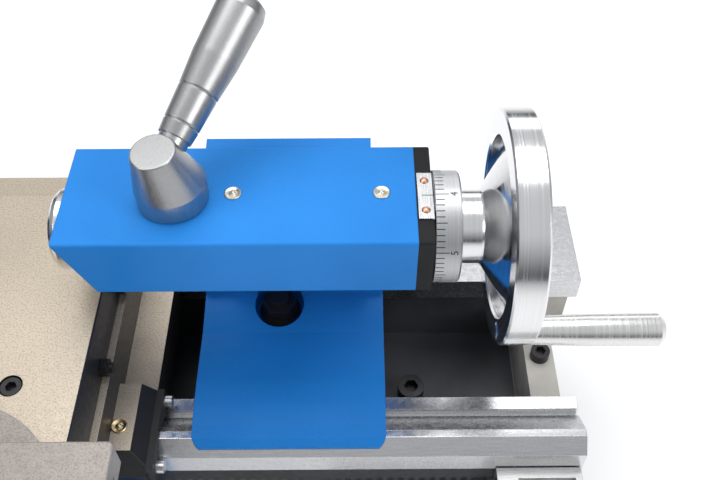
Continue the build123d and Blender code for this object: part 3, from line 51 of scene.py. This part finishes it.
# ---------------------------------------------------------------- places, from the frame
bed_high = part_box("bed")[1]
dial_low, dial_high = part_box("quill_dial")
axis = Vector((0, (dial_low.y + dial_high.y) / 2, (dial_low.z + dial_high.z) / 2))
way_z = bed_high.z - 9 * MM  # the flat ways lie this far below the vee's ridge
dial_r = (dial_high.z - dial_low.z) / 2


# ---------------------------------------------------------------- materials
class Nodes:
    """A material's node tree, with short calls for the nodes that every finish here uses."""

    def __init__(self, name):
        self.material = bpy.data.materials.new(name)
        self.material.use_nodes = True
        self.tree = self.material.node_tree
        self.shader = self.tree.nodes["Principled BSDF"]
        self.place = self.add("ShaderNodeTexCoord").outputs["Object"]

    def add(self, kind, **settings):
        node = self.tree.nodes.new(kind)
        for key, value in settings.items():
            setattr(node, key, value)
        return node

    def link(self, source, target):
        self.tree.links.new(source, target)

    def put(self, socket, value):
        """Sets a socket to a number or colour, or joins it to another node's output."""
        if isinstance(value, bpy.types.NodeSocket):
            self.link(value, socket)
        else:
            socket.default_value = value

    def noise(self, scale, detail=3.0, stretch=(1, 1, 1)):
        mapping = self.add("ShaderNodeMapping")
        mapping.inputs["Scale"].default_value = stretch
        self.link(self.place, mapping.inputs["Vector"])
        node = self.add("ShaderNodeTexNoise")
        node.inputs["Scale"].default_value = scale
        node.inputs["Detail"].default_value = detail
        self.link(mapping.outputs["Vector"], node.inputs["Vector"])
        return node.outputs["Fac"]

    def spread(self, value, low, high, start=0.3, end=0.7):
        node = self.add("ShaderNodeMapRange")
        self.link(value, node.inputs["Value"])
        node.inputs["From Min"].default_value = start
        node.inputs["From Max"].default_value = end
        node.inputs["To Min"].default_value = low
        node.inputs["To Max"].default_value = high
        return node.outputs["Result"]

    def mix(self, mask, first, second):
        node = self.add("ShaderNodeMix", data_type="RGBA")
        self.put(node.inputs["Factor"], mask)
        for socket, value in ((node.inputs[6], first), (node.inputs[7], second)):
            self.put(socket, value if isinstance(value, bpy.types.NodeSocket) else (*value, 1))
        return node.outputs[2]

    def math(self, operation, first, second=0.0):
        node = self.add("ShaderNodeMath", operation=operation)
        self.put(node.inputs[0], first)
        self.put(node.inputs[1], second)
        return node.outputs[0]

    def facing_up(self, start=0.55, end=0.75):
        """1 where the surface faces up, 0 where it stands."""
        split = self.add("ShaderNodeSeparateXYZ")
        self.link(self.add("ShaderNodeNewGeometry").outputs["Normal"], split.inputs[0])
        return self.spread(split.outputs["Z"], 0, 1, start, end)

    def height(self, part):
        split = self.add("ShaderNodeSeparateXYZ")
        self.link(self.place, split.inputs[0])
        return split.outputs[part]

    def rounded(self, radius):
        """The normal with its edges eased, as a broken or cast edge looks."""
        node = self.add("ShaderNodeBevel", samples=4)
        node.inputs["Radius"].default_value = radius
        return node.outputs["Normal"]

    def bump(self, height, distance, normal=None, strength=1.0):
        node = self.add("ShaderNodeBump")
        node.inputs["Distance"].default_value = distance
        node.inputs["Strength"].default_value = strength
        self.link(height, node.inputs["Height"])
        if normal is not None:
            self.link(normal, node.inputs["Normal"])
        return node.outputs["Normal"]

    def finish(self, color, roughness, metallic=0.0, normal=None, **constants):
        self.put(self.shader.inputs["Base Color"], color)
        self.put(self.shader.inputs["Roughness"], roughness)
        self.put(self.shader.inputs["Metallic"], metallic)
        if normal is not None:
            self.link(normal, self.shader.inputs["Normal"])
        for name, value in constants.items():
            self.shader.inputs[name.replace("_", " ")].default_value = value
        return self.material


def paint(name, color, roughness=0.36, edge=0.8 * MM, coat=0.04, peel=0.00015):
    """Enamel over a casting: a fine grain, slow changes of tone, and a softer sheen where it faces up."""
    n = Nodes(name)
    deep = [0.82 * c for c in color]
    light = [min(1, 1.08 * c + 0.01) for c in color]
    tone = n.mix(n.spread(n.noise(9, 2), 0, 1), deep, light)
    bright = [min(1, c * 1.35 + 0.02) for c in color]
    fleck = n.mix(n.spread(n.noise(1500, 2), 0, 0.22, 0.5, 0.8), tone, bright)
    rough = n.math("ADD", n.spread(n.noise(260, 3), roughness - 0.05, roughness + 0.05),
                   n.math("MULTIPLY", n.facing_up(), 0.10))
    grain = n.math("MULTIPLY", n.noise(1100, 3), n.math("ADD", n.facing_up(), 0.35))
    peeled = n.bump(grain, peel, n.rounded(edge))
    return n.finish(fleck, rough, 0.0, peeled,
                    Coat_Weight=coat, Coat_Roughness=0.2, Specular_IOR_Level=0.12)


def ground_metal(name, color, roughness=0.28, along=(1, 40, 40), speck=0.0):
    """Ground iron or steel: fine lines along the travel of the wheel, with pores where the metal is cast."""
    n = Nodes(name)
    lines = n.noise(70, 4, along)
    tone = n.mix(n.spread(lines, 0, 1), [0.88 * c for c in color], color)
    if speck:
        pores = n.spread(n.noise(900, 4), 0, speck, 0.5, 0.72)
        tone = n.mix(pores, tone, [0.45 * c for c in color])
    cloud = n.spread(n.noise(14, 3), -0.04, 0.05)
    rough = n.math("ADD", n.spread(lines, roughness - 0.06, roughness + 0.08), cloud)
    return n.finish(tone, rough, 1.0, n.bump(lines, 0.00001, n.rounded(STEEL_EDGE)))


def turned_metal(name, color, roughness, centre=(0, 0, 0), plane="yz", rings=900.0):
    """Steel from a lathe: fine rings round its axis, on its faces and along its sides."""
    n = Nodes(name)
    shift = n.add("ShaderNodeVectorMath", operation="SUBTRACT")
    n.link(n.place, shift.inputs[0])
    shift.inputs[1].default_value = centre
    split = n.add("ShaderNodeSeparateXYZ")
    n.link(shift.outputs["Vector"], split.inputs[0])
    first, second = (split.outputs[letter.upper()] for letter in plane)
    round_axis = ({"x", "y", "z"} - set(plane)).pop().upper()
    third = split.outputs[round_axis]
    squares = n.math("ADD", n.math("MULTIPLY", first, first), n.math("MULTIPLY", second, second))
    radius = n.math("SQRT", squares)
    joined = n.add("ShaderNodeCombineXYZ")
    n.link(radius, joined.inputs[0])
    n.link(third, joined.inputs[1])
    ring = n.add("ShaderNodeTexNoise")
    ring.inputs["Scale"].default_value = rings
    ring.inputs["Detail"].default_value = 4
    n.link(joined.outputs["Vector"], ring.inputs["Vector"])
    lines = ring.outputs["Fac"]
    tone = n.mix(n.spread(lines, 0, 1), [0.86 * c for c in color], color)
    rough = n.spread(lines, roughness - 0.05, roughness + 0.09)
    tangent = n.add("ShaderNodeTangent", direction_type="RADIAL", axis=round_axis)
    n.link(tangent.outputs[0], n.shader.inputs["Tangent"])
    return n.finish(tone, rough, 1.0, n.bump(lines, 0.000012, n.rounded(0.3 * MM)), Anisotropic=0.6)


def moulded(name, color, roughness, grain=900, metallic=0.0):
    """Plastic, rubber, ink and blackened screws: a fine grain and an uneven sheen."""
    n = Nodes(name)
    light = [min(1, 1.12 * c + 0.004) for c in color]
    tone = n.mix(n.spread(n.noise(40, 3), 0, 1), [0.85 * c for c in color], light)
    rough = n.spread(n.noise(180, 3), roughness - 0.06, roughness + 0.07)
    return n.finish(tone, rough, metallic, n.bump(n.noise(grain, 2), 0.00003, n.rounded(STEEL_EDGE)))


def bed_finish():
    """The bed: ground ways on a dark casting, with the end rib's bare primer."""
    n = Nodes("bed_casting_and_ways")
    lines = n.noise(70, 4, (1, 40, 40))
    steel = n.mix(n.spread(lines, 0, 1), (0.58, 0.58, 0.59), (0.72, 0.72, 0.73))
    dark = n.mix(n.spread(n.noise(30, 3), 0, 1), (0.038, 0.040, 0.045), (0.065, 0.069, 0.076))
    primer = n.mix(n.spread(n.noise(60, 3), 0, 1), (0.36, 0.34, 0.31), (0.46, 0.44, 0.40))
    ground_depth = 18.5 * MM
    end_depth = 37.3 * MM
    blur = 0.1 * MM
    is_way = n.spread(n.height("Z"), 0, 1, way_z - ground_depth - blur, way_z - ground_depth + blur)
    is_end = n.spread(n.height("X"), 0, 1, bed_high.x - end_depth - blur, bed_high.x - end_depth + blur)
    casting = n.mix(is_end, dark, primer)
    color = n.mix(is_way, casting, steel)
    rough = n.math("ADD", n.math("MULTIPLY", is_way, -0.22), n.spread(n.noise(300, 3), 0.42, 0.52))
    ground = n.bump(lines, 0.000008, n.rounded(STEEL_EDGE))
    return n.finish(color, rough, is_way, ground)


def top_ground(name, top, sides, speck=0.5, rough_top=0.42):
    """Ground on top, painted down its sides."""
    n = Nodes(name)
    pores = n.spread(n.noise(1100, 4), 0, speck, 0.48, 0.66)
    warm = n.mix(n.spread(n.noise(16, 3), 0, 1), [0.93 * c for c in top], [min(1, 1.04 * c) for c in top])
    ground = n.mix(pores, warm, [0.5 * c for c in top])
    up = n.facing_up(0.80, 0.92)
    color = n.mix(up, sides, ground)
    rough = n.math("ADD", n.math("MULTIPLY", up, rough_top - 0.36), n.spread(n.noise(300, 3), 0.32, 0.42))
    metal = n.math("MULTIPLY", up, 0.55)
    return n.finish(color, rough, metal, n.bump(n.noise(1100, 4), 0.00002, n.rounded(0.5 * MM)))


BLUE = (0.012, 0.205, 0.620)
SPECKLED = (0.50, 0.43, 0.34)
centre_x = (0, axis.y, axis.z)


def middle(node):
    low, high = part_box(node)
    return tuple((low + high) / 2)


blue = paint("blue_enamel", BLUE)
dark = paint("dark_enamel", (0.016, 0.017, 0.019), 0.40, coat=0.1)
black_flange = paint("black_flange_enamel", (0.010, 0.010, 0.011), 0.45, 0.6 * MM, 0.0)
grey = paint("grey_enamel", (0.30, 0.31, 0.32), 0.42, coat=0.1)
feet_paint = paint("foot_enamel", (0.05, 0.052, 0.056), 0.45, 1.5 * MM, 0.1, 0.00018)
bed_look = bed_finish()
saddle_look = top_ground("saddle_ground_and_painted", SPECKLED, (0.012, 0.012, 0.013), 0.7)
slide_look = top_ground("slide_ground_and_painted", SPECKLED, (0.014, 0.014, 0.015), 0.7)
compound_look = top_ground("compound_ground", (0.33, 0.30, 0.27), (0.30, 0.28, 0.26), 0.6, 0.5)
bracket_look = ground_metal("bracket_ground", (0.68, 0.68, 0.67), 0.30)
steel = ground_metal("satin_steel", (0.66, 0.66, 0.66), 0.30, (20, 20, 1))
wheel_look = turned_metal("handwheel_polished", (0.80, 0.80, 0.80), 0.13, centre_x)
grip_look = turned_metal("grip_polished", (0.78, 0.77, 0.75), 0.22, middle("tailstock_wheel_handle"))
dial_look = turned_metal("dial_satin", (0.56, 0.57, 0.58), 0.38, centre_x, rings=1400)
quill_look = turned_metal("quill_polished", (0.78, 0.78, 0.78), 0.15, centre_x)
chuck_look = turned_metal("chuck_turned", (0.64, 0.64, 0.64), 0.24, centre_x)
lock_look = ground_metal("lock_brushed", (0.42, 0.42, 0.42), 0.36, (30, 30, 2), 0.15)
blackened = moulded("blackened_steel", (0.018, 0.018, 0.020), 0.38, metallic=0.5)
# the rack's steel is painted near black: painted shade, for the shadow that lies under the bed's front vee
rack_shade_look = moulded("rack_painted_shade", (0.020, 0.021, 0.024), 0.55, metallic=0.2)
rubber = moulded("rubber", (0.012, 0.012, 0.012), 0.62, 700)
plastic = moulded("black_plastic", (0.02, 0.02, 0.021), 0.36)
red = moulded("red_plastic", (0.55, 0.012, 0.010), 0.25)
yellow = moulded("yellow_collar", (0.75, 0.50, 0.02), 0.38)
ink = moulded("ink", (0.012, 0.012, 0.013), 0.5)
amber = moulded("oil_sight_amber", (0.50, 0.22, 0.02), 0.12)
brass = turned_metal("brass", (0.72, 0.55, 0.30), 0.28, (0, 0, 0), "xy")
nickel = turned_metal("oiler_nickel", (0.66, 0.62, 0.52), 0.30, (0, 0, 0), "xy")
copper = ground_metal("copper_rivet", (0.72, 0.38, 0.26), 0.30, (10, 10, 10))
plate = ground_metal("plate_aluminium", (0.80, 0.81, 0.82), 0.26, (40, 1, 1))

LOOKS = {
    blue: ["headstock", "apron", "tailstock_body", "tailstock_base", "gear_cover"],
    dark: ["guard_plate", "motor"],
    black_flange: ["tailstock_end_cap"],
    grey: ["control_box"],
    feet_paint: ["bed_feet"],
    bed_look: ["bed"],
    saddle_look: ["saddle"],
    slide_look: ["cross_slide"],
    compound_look: ["compound_base", "top_slide"],
    bracket_look: ["leadscrew_brackets"],
    rack_shade_look: ["rack"],
    steel: ["rack_pinion", "idler_gear", "leadscrew_gear", "spindle_pulley", "motor_pulley",
            "cross_feed_screw", "top_slide_screw", "half_nut_lever", "wiper_screws", "tailstock_clamp_plate",
            "spindle_bearings", "quill_screw", "leadscrew"],
    wheel_look: ["tailstock_handwheel"],
    grip_look: ["tailstock_wheel_handle"],
    dial_look: ["quill_dial"],
    quill_look: ["tailstock_quill", "spindle"],
    chuck_look: ["chuck_body", "chuck_jaw_1", "chuck_jaw_2", "chuck_jaw_3", "apron_handwheel",
                 "cross_feed_crank", "top_slide_crank", "tool_post_handle"],
    lock_look: ["quill_lock_hub", "quill_lock_rod"],
    blackened: ["bed_screws", "gib_screws", "tool_post", "tool_screws", "tailstock_clamp_bolt"],
    rubber: ["drive_belt", "way_wipers"],
    plastic: ["apron_wheel_handle", "speed_knob"],
    red: ["estop_button"],
    brass: ["half_nut", "saddle_oilers"],
    nickel: ["tailstock_oilers"],
    copper: ["index_rivets"],
    plate: ["index_plate"],
}
for look, nodes in LOOKS.items():
    for node in nodes:
        mesh = frame["nodes"][node].data
        mesh.materials.clear()
        mesh.materials.append(look)


def frame_joint(name):
    return next(joint for joint in frame["joints"] if joint["name"] == name)


# ---------------------------------------------------------------- pieces made here
def piece(name, verts, faces, look, body, smooth=False):
    mesh = bpy.data.meshes.new(name)
    mesh.from_pydata([tuple(v) for v in verts], [], faces)
    mesh.update()
    made = bpy.data.objects.new(name, mesh)
    bpy.context.collection.objects.link(made)
    mesh.materials.append(look)
    if smooth:
        for polygon in mesh.polygons:
            polygon.use_smooth = True
    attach(made, body)
    return made


def add_bar(verts, faces, corners):
    """Adds a six-sided bar from its eight corners: four round one end, then the four over them."""
    first = len(verts)
    verts.extend(corners)
    sides = ((3, 2, 1, 0), (4, 5, 6, 7), (0, 1, 5, 4), (1, 2, 6, 5), (2, 3, 7, 6), (3, 0, 4, 7))
    faces.extend(tuple(first + corner for corner in side) for side in sides)


def add_box(verts, faces, low, high):
    (x0, y0, z0), (x1, y1, z1) = low, high
    add_bar(verts, faces, [Vector(p) for p in (
        (x0, y0, z0), (x1, y0, z0), (x1, y1, z0), (x0, y1, z0),
        (x0, y0, z1), (x1, y0, z1), (x1, y1, z1), (x0, y1, z1))])


def add_turned(verts, faces, outline, place, segments=32):
    """Adds a closed turned shape; outline is (along, radius) pairs that start and end on the axis."""
    rings = []
    for along, radius in outline:
        if radius < 1e-7:
            rings.append([len(verts)])
            verts.append(place @ Vector((0, 0, along)))
            continue
        ring = []
        for step in range(segments):
            angle = 2 * pi * step / segments
            ring.append(len(verts))
            verts.append(place @ Vector((radius * cos(angle), radius * sin(angle), along)))
        rings.append(ring)
    for lower, upper in zip(rings, rings[1:]):
        for step in range(segments):
            after = (step + 1) % segments
            if len(lower) == 1:
                faces.append((lower[0], upper[after], upper[step]))
            elif len(upper) == 1:
                faces.append((lower[step], lower[after], upper[0]))
            else:
                faces.append((lower[step], lower[after], upper[after], upper[step]))


def facing(point, direction):
    """A matrix whose Z points along direction, at point."""
    return Matrix.Translation(point) @ Vector(direction).to_track_quat("Z", "Y").to_matrix().to_4x4()


def add_ring_marks(verts, faces, place, radius, angles, span, width, rise=0.06 * MM):
    """Adds marks that stand just proud of a turned side, each (angle, length), from the edge inward."""
    for angle, length in angles:
        half = width / 2 / radius
        corners = []
        for r in (radius - 0.1 * MM, radius + rise):
            for a, along in ((angle - half, span), (angle + half, span),
                             (angle + half, span + length), (angle - half, span + length)):
                corners.append(place @ Vector((r * cos(a), r * sin(a), along)))
        add_bar(verts, faces, corners)


def number_mesh(text, size):
    """The flat mesh of a number, centred on its own middle."""
    curve = bpy.data.curves.new("number", "FONT")
    curve.body = text
    curve.size = size
    curve.align_x = "CENTER"
    curve.align_y = "CENTER"
    curve.resolution_u = 3
    shown = bpy.data.objects.new("number", curve)
    mesh = bpy.data.meshes.new_from_object(shown)
    bpy.data.objects.remove(shown)
    bpy.data.curves.remove(curve)
    return mesh


def add_numbers(verts, faces, place, radius, labels, size, along, rise=0.08 * MM):
    """Wraps numbers round a turned side, each with its top towards the start of the axis."""
    for angle, text in labels:
        mesh = number_mesh(text, size)
        first = len(verts)
        for v in mesh.vertices:
            a = angle - v.co.x / radius
            r = radius + rise
            verts.append(place @ Vector((r * cos(a), r * sin(a), along - v.co.y)))
        faces.extend(tuple(first + i for i in polygon.vertices) for polygon in mesh.polygons)
        bpy.data.meshes.remove(mesh)


def dial(name, place, radius, width, divisions, body, numbers=0, line=0.32 * MM):
    """Graduations round a dial: short marks, longer ones at fives and tens, and numbers at the tens."""
    verts, faces = [], []
    marks = []
    for division in range(divisions):
        share = 0.54 if division % 10 == 0 else 0.44 if division % 5 == 0 else 0.35
        marks.append((2 * pi * division / divisions, width * share))
    add_ring_marks(verts, faces, place, radius, marks, 0.0, line)
    if numbers:
        labels = [(2 * pi * k / numbers, str(k)) for k in range(numbers)]
        add_numbers(verts, faces, place, radius, labels, width * 0.44, width * 0.76)
    return piece(name, verts, faces, ink, body)


# the quill dial: 60 divisions, a number at every tenth, with 4 a little past the index line
turn_at_index = radians(90 + 7.5)
dial_bevel = 0.9 * MM
x_to_z = Matrix(((0, 0, 1, 0), (1, 0, 0, 0), (0, 1, 0, 0), (0, 0, 0, 1)))
dial_place = (Matrix.Translation((dial_low.x + dial_bevel, axis.y, axis.z)) @ x_to_z
              @ Matrix.Rotation(turn_at_index - 4 * pi / 3, 4, "Z"))
dial_width = dial_high.x - dial_low.x - 2 * dial_bevel
dial("dial_marks", dial_place, dial_r, dial_width, 60, "tailstock_wheel",
     numbers=6, line=0.45 * MM)

# the index line on its plate
plate_low, plate_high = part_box("index_plate")
verts, faces = [], []
index_y = (plate_low.y + plate_high.y) / 2
add_box(verts, faces, (plate_high.x - 5.5 * MM, index_y - 0.2 * MM, plate_high.z - 0.1 * MM),
        (plate_high.x, index_y + 0.2 * MM, plate_high.z + 0.06 * MM))
piece("index_line", verts, faces, ink, "tailstock")

# balls in the oilers
for node, body in (("saddle_oilers", "carriage"), ("tailstock_oilers", "tailstock")):
    low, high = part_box(node)
    verts, faces = [], []
    half = 4.4 * MM
    ball = 1.5 * MM
    for x in (low.x + half, high.x - half):
        profile = [(-ball * cos(pi * k / 8), ball * sin(pi * k / 8)) for k in range(9)]
        ball_at = (x, (low.y + high.y) / 2, high.z - 1.0 * MM)
        add_turned(verts, faces, profile, Matrix.Translation(ball_at), 20)
    piece(node + "_balls", verts, faces, steel, body, True)


def thread(name, node, pitch, depth, body, plain_left, plain_right):
    """A screw with its thread cut between two plain ends, standing for its plain rod."""
    low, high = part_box(node)
    radius = (high.z - low.z) / 2
    mid = (low + high) / 2
    steps = 20
    start, end = low.x + plain_left, high.x - plain_right
    turns = int((end - start) / pitch) - 2
    profile = ((0.0, radius - depth), (0.28, radius), (0.55, radius), (0.83, radius - depth))
    verts, faces = [], []

    def ring_at(x, ring_radius):
        ring = []
        for step in range(steps):
            angle = 2 * pi * step / steps
            ring.append(len(verts))
            verts.append(Vector((x, mid.y + ring_radius * cos(angle), mid.z + ring_radius * sin(angle))))
        return ring

    for x0, x1 in ((low.x, start + pitch), (end - pitch, high.x)):
        first = ring_at(x0, radius - 0.4 * MM)
        second = ring_at(x0 + 0.6 * MM, radius)
        third = ring_at(x1, radius)
        for lower, upper in ((first, second), (second, third)):
            for step in range(steps):
                after = (step + 1) % steps
                faces.append((lower[step], upper[step], upper[after], lower[after]))
        faces.append(tuple(first))
        faces.append(tuple(reversed(third)))
    base = len(verts)
    count = turns * steps + 1
    for k in range(count):
        angle = 2 * pi * k / steps
        for shift, r in profile:
            x = start + pitch * (k / steps + shift)
            verts.append(Vector((x, mid.y + r * cos(angle), mid.z + r * sin(angle))))
    size = len(profile)
    for k in range(count - 1):
        here, there = base + size * k, base + size * (k + 1)
        for j in range(size - 1):
            faces.append((here + j, here + j + 1, there + j + 1, there + j))
        if k + steps < count - 1:
            ahead = base + size * (k + steps)
            faces.append((here + size - 1, ahead, ahead + size, there + size - 1))
    made = piece(name, verts, faces, steel, body, True)
    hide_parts(node)
    return made


thread("leadscrew_thread", "leadscrew", 3 * MM, 1.3 * MM, "leadscrew", 46 * MM, 40 * MM)

# ---------------------------------------------------------------- details of the drive, chuck and carriage
head_low, head_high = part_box("headstock")
box_low, box_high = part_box("control_box")
knob_low, knob_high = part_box("speed_knob")
stop_low, stop_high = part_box("estop_button")
motor_low, motor_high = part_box("motor")
cover_low, cover_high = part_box("gear_cover")
chuck_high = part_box("chuck_body")[1]
apron_low, apron_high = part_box("apron")
swivel_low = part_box("compound_base")[0]


def screw_heads(name, places, direction, radius, look, body, tall=2.5 * MM):
    """Socket-headed screws: a ring of steel with a dark hexagon sunk in it."""
    verts, faces = [], []
    chamfer = 0.4 * MM
    outline = [(0, 0), (0, radius), (tall - chamfer, radius), (tall, radius - chamfer), (tall, radius * 0.55),
               (tall * 0.35, radius * 0.52), (tall * 0.35, 0)]
    for place in places:
        add_turned(verts, faces, outline, facing(place, direction), 24)
    return piece(name, verts, faces, look, body)


# headstock: an oil sight low on its front
sight_verts, sight_faces = [], []
sight_place = facing((head_high.x - 30 * MM, head_low.y, head_low.z + 30 * MM), (0, -1, 0))
sight_outline = ((0, 0), (0, 11), (3, 11), (4, 10), (4, 7.5), (2, 7), (2, 0))
add_turned(sight_verts, sight_faces, [(along * MM, r * MM) for along, r in sight_outline], sight_place, 36)
piece("oil_sight_ring", sight_verts, sight_faces, steel, "machine_frame")
glass_verts, glass_faces = [], []
glass_outline = ((2.05, 0), (2.05, 7), (2.8, 6.6), (3.2, 4), (3.4, 0))
add_turned(glass_verts, glass_faces, [(along * MM, r * MM) for along, r in glass_outline], sight_place, 36)
piece("oil_sight_window", glass_verts, glass_faces, amber, "machine_frame", True)

# control box: a scale round its knob, a yellow collar under the stop button, and four panel screws
panel_y = box_low.y
scale_verts, scale_faces = [], []
knob_at = Vector(((knob_low.x + knob_high.x) / 2, panel_y, (knob_low.z + knob_high.z) / 2))
for step in range(11):
    angle = radians(225 - 27 * step)
    out = Vector((cos(angle), 0, sin(angle)))
    side = Vector((-sin(angle), 0, cos(angle))) * 0.5 * MM
    corners = []
    for y in (0.0, -0.15 * MM):
        lift = Vector((0, y, 0))
        for r, s in ((19 * MM, -1), (19 * MM, 1), (24 * MM, 1), (24 * MM, -1)):
            corners.append(knob_at + out * r + side * s + lift)
    add_bar(scale_verts, scale_faces, corners)
piece("speed_scale", scale_verts, scale_faces, ink, "machine_frame")
stop_at = Vector(((stop_low.x + stop_high.x) / 2, panel_y, (stop_low.z + stop_high.z) / 2))
collar_verts, collar_faces = [], []
collar_outline = ((0, 8.4), (0, 21), (0.8, 21), (1.2, 20.5), (1.2, 8.4))
add_turned(collar_verts, collar_faces, [(along * MM, r * MM) for along, r in collar_outline],
           facing(stop_at, (0, -1, 0)), 48)
piece("stop_collar", collar_verts, collar_faces, yellow, "machine_frame")
corner_inset = 9 * MM
panel_places = [Vector((x, panel_y, z)) for x in (box_low.x + corner_inset, box_high.x - corner_inset)
                for z in (box_low.z + corner_inset, box_high.z - corner_inset)]
screw_heads("panel_screws", panel_places, (0, -1, 0), 3 * MM, blackened, "machine_frame",
            1.6 * MM)

# motor: cooling fins along its shell
motor_y = (motor_low.y + motor_high.y) / 2
motor_z = motor_low.z + (motor_high.y - motor_low.y) / 2
fin_verts, fin_faces = [], []
fin_root = 57.5 * MM
fin_tip = 61.8 * MM
for step in range(36):
    angle = radians(10 * step)
    under_terminal_box = abs(cos(angle)) < 0.56 and sin(angle) > 0
    if under_terminal_box:
        continue
    out = Vector((0, cos(angle), sin(angle)))
    side = Vector((0, -sin(angle), cos(angle))) * 1.0 * MM
    corners = []
    for x in (motor_low.x + 12 * MM, motor_high.x - 12 * MM):
        for r, s in ((fin_root, -1), (fin_tip, -1), (fin_tip, 1), (fin_root, 1)):
            corners.append(Vector((x, motor_y, motor_z)) + out * r + side * s)
    add_bar(fin_verts, fin_faces, corners)
piece("motor_fins", fin_verts, fin_faces, dark, "machine_frame")

# gear cover: a row of louvres
louvre_verts, louvre_faces = [], []
for step in range(9):
    z = cover_low.z + 60 * MM + step * 12 * MM
    x = cover_low.x + 14 * MM
    corners = []
    for y in (cover_high.y - 110 * MM, cover_high.y - 50 * MM):
        corners += [Vector((x, y, z)), Vector((x - 3 * MM, y, z)), Vector((x - 0.6 * MM, y, z + 6 * MM)),
                    Vector((x, y, z + 6 * MM))]
    add_bar(louvre_verts, louvre_faces, corners)
piece("cover_louvres", louvre_verts, louvre_faces, blue, "gear_cover")

# chuck: three screws in its face
screw_circle = 43 * MM
chuck_places = []
for turn in (30, 150, 270):
    y = axis.y + screw_circle * cos(radians(turn))
    z = axis.z + screw_circle * sin(radians(turn))
    chuck_places.append(Vector((chuck_high.x, y, z)))
screw_heads("chuck_screws", chuck_places, (1, 0, 0), 6 * MM, blackened, "spindle",
            1.5 * MM)

# apron: cap screws that hold its cover
apron_places = [Vector((x, apron_low.y, z)) for x in (apron_low.x + 16 * MM, apron_high.x - 16 * MM)
                for z in (apron_low.z + 14 * MM, apron_high.z - 14 * MM)]
screw_heads("apron_screws", apron_places, (0, -1, 0), 4.5 * MM, blackened, "carriage")

# degrees round the swivel base
swivel_at = Vector(frame_joint("compound_swivel")["pos_m"])
swivel_r = 62 * MM
swivel_place = Matrix.Translation((swivel_at.x, swivel_at.y, swivel_low.z))
degree_marks = [(radians(a) - pi / 2, (2.4 if a % 10 else 3.4) * MM) for a in range(-60, 61, 2)]
verts, faces = [], []
add_ring_marks(verts, faces, swivel_place, swivel_r, degree_marks, 0.1 * MM, 0.25 * MM, 0.05 * MM)
piece("swivel_degrees", verts, faces, ink, "compound")

# graduations on the two feed dials
crank_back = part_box("cross_feed_crank")[1].y
cross_at = frame_joint("cross_crank_turn")["pos_m"]
cross_place = facing((cross_at[0], crank_back - 0.3 * MM, cross_at[2]), (0, -1, 0))
top_at = frame_joint("top_crank_turn")["pos_m"]
top_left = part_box("top_slide_crank")[0].x
top_place = facing((top_left + 0.3 * MM, top_at[1], top_at[2]), (1, 0, 0))
for name, place, radius, body in (("cross_dial_marks", cross_place, 19.1 * MM, "cross_crank"),
                                  ("top_dial_marks", top_place, 11 * MM, "top_crank")):
    dial(name, place, radius, 8 * MM, 50, body)

# ---------------------------------------------------------------- stage, light and camera
floor_mesh = bpy.data.meshes.new("floor")
reach = 6.0
floor_corners = [(-reach, -reach, 0), (reach, -reach, 0), (reach, reach, 0), (-reach, reach, 0)]
floor_mesh.from_pydata(floor_corners, [], [(0, 1, 2, 3)])
floor = bpy.data.objects.new("floor", floor_mesh)
bpy.context.collection.objects.link(floor)
floor_nodes = Nodes("pale_floor")
floor_tone = floor_nodes.mix(floor_nodes.noise(3, 2), (0.90, 0.90, 0.90), (0.94, 0.94, 0.94))
floor_mesh.materials.append(floor_nodes.finish(floor_tone, 0.7))
floor.location.z = -0.5 * MM


def softbox(name, place, target, width, height, power):
    lamp = bpy.data.lights.new(name, "AREA")
    lamp.shape = "RECTANGLE"
    lamp.size = width
    lamp.size_y = height
    lamp.energy = power
    made = bpy.data.objects.new(name, lamp)
    made.location = place
    made.rotation_euler = (Vector(target) - Vector(place)).to_track_quat("-Z", "Y").to_euler()
    bpy.context.collection.objects.link(made)


softbox("top_light", (0.1, 0.5, 1.9), (0.1, 0, 0.2), 1.6, 1.0, 17)
softbox("left_light", (-1.3, -0.9, 1.3), (0, 0, 0.2), 0.9, 0.9, 12)
softbox("right_light", (1.6, -0.7, 1.2), (0.2, 0, 0.2), 0.7, 0.9, 11)
softbox("back_light", (0.4, 1.8, 0.9), (0, 0, 0.25), 1.6, 0.6, 5)

# a sky that is bright overhead and dark at the horizon, so polished steel shows both
world = bpy.data.worlds.new("studio")
bpy.context.scene.world = world
world.use_nodes = True
sky = world.node_tree.nodes
join = world.node_tree.links.new
background = sky["Background"]
direction = sky.new("ShaderNodeSeparateXYZ")
join(sky.new("ShaderNodeTexCoord").outputs["Generated"], direction.inputs[0])
ramp = sky.new("ShaderNodeValToRGB")
horizon, overhead = ramp.color_ramp.elements
horizon.position = 0.05
horizon.color = (0.13, 0.14, 0.16, 1)
overhead.position = 0.62
overhead.color = (0.95, 0.97, 1.0, 1)
join(direction.outputs["Z"], ramp.inputs[0])
join(ramp.outputs["Color"], background.inputs["Color"])
background.inputs["Strength"].default_value = 0.72
bpy.context.scene.view_settings.view_transform = "Standard"

camera_data = bpy.data.cameras.new("camera")
camera_data.lens = 43.06
camera_data.sensor_width = 36.0
camera_data.clip_start = 0.01
camera = bpy.data.objects.new("camera", camera_data)
camera.location = (0.3282, -0.2952, 0.6152)
look_down = 50.34
turned_aside = -0.14
tilted = -0.26
camera.rotation_euler = Euler((radians(90 - look_down), 0, radians(turned_aside)), "XYZ")
camera.rotation_euler.rotate_axis("Z", radians(tilted))
bpy.context.collection.objects.link(camera)
bpy.context.scene.camera = camera
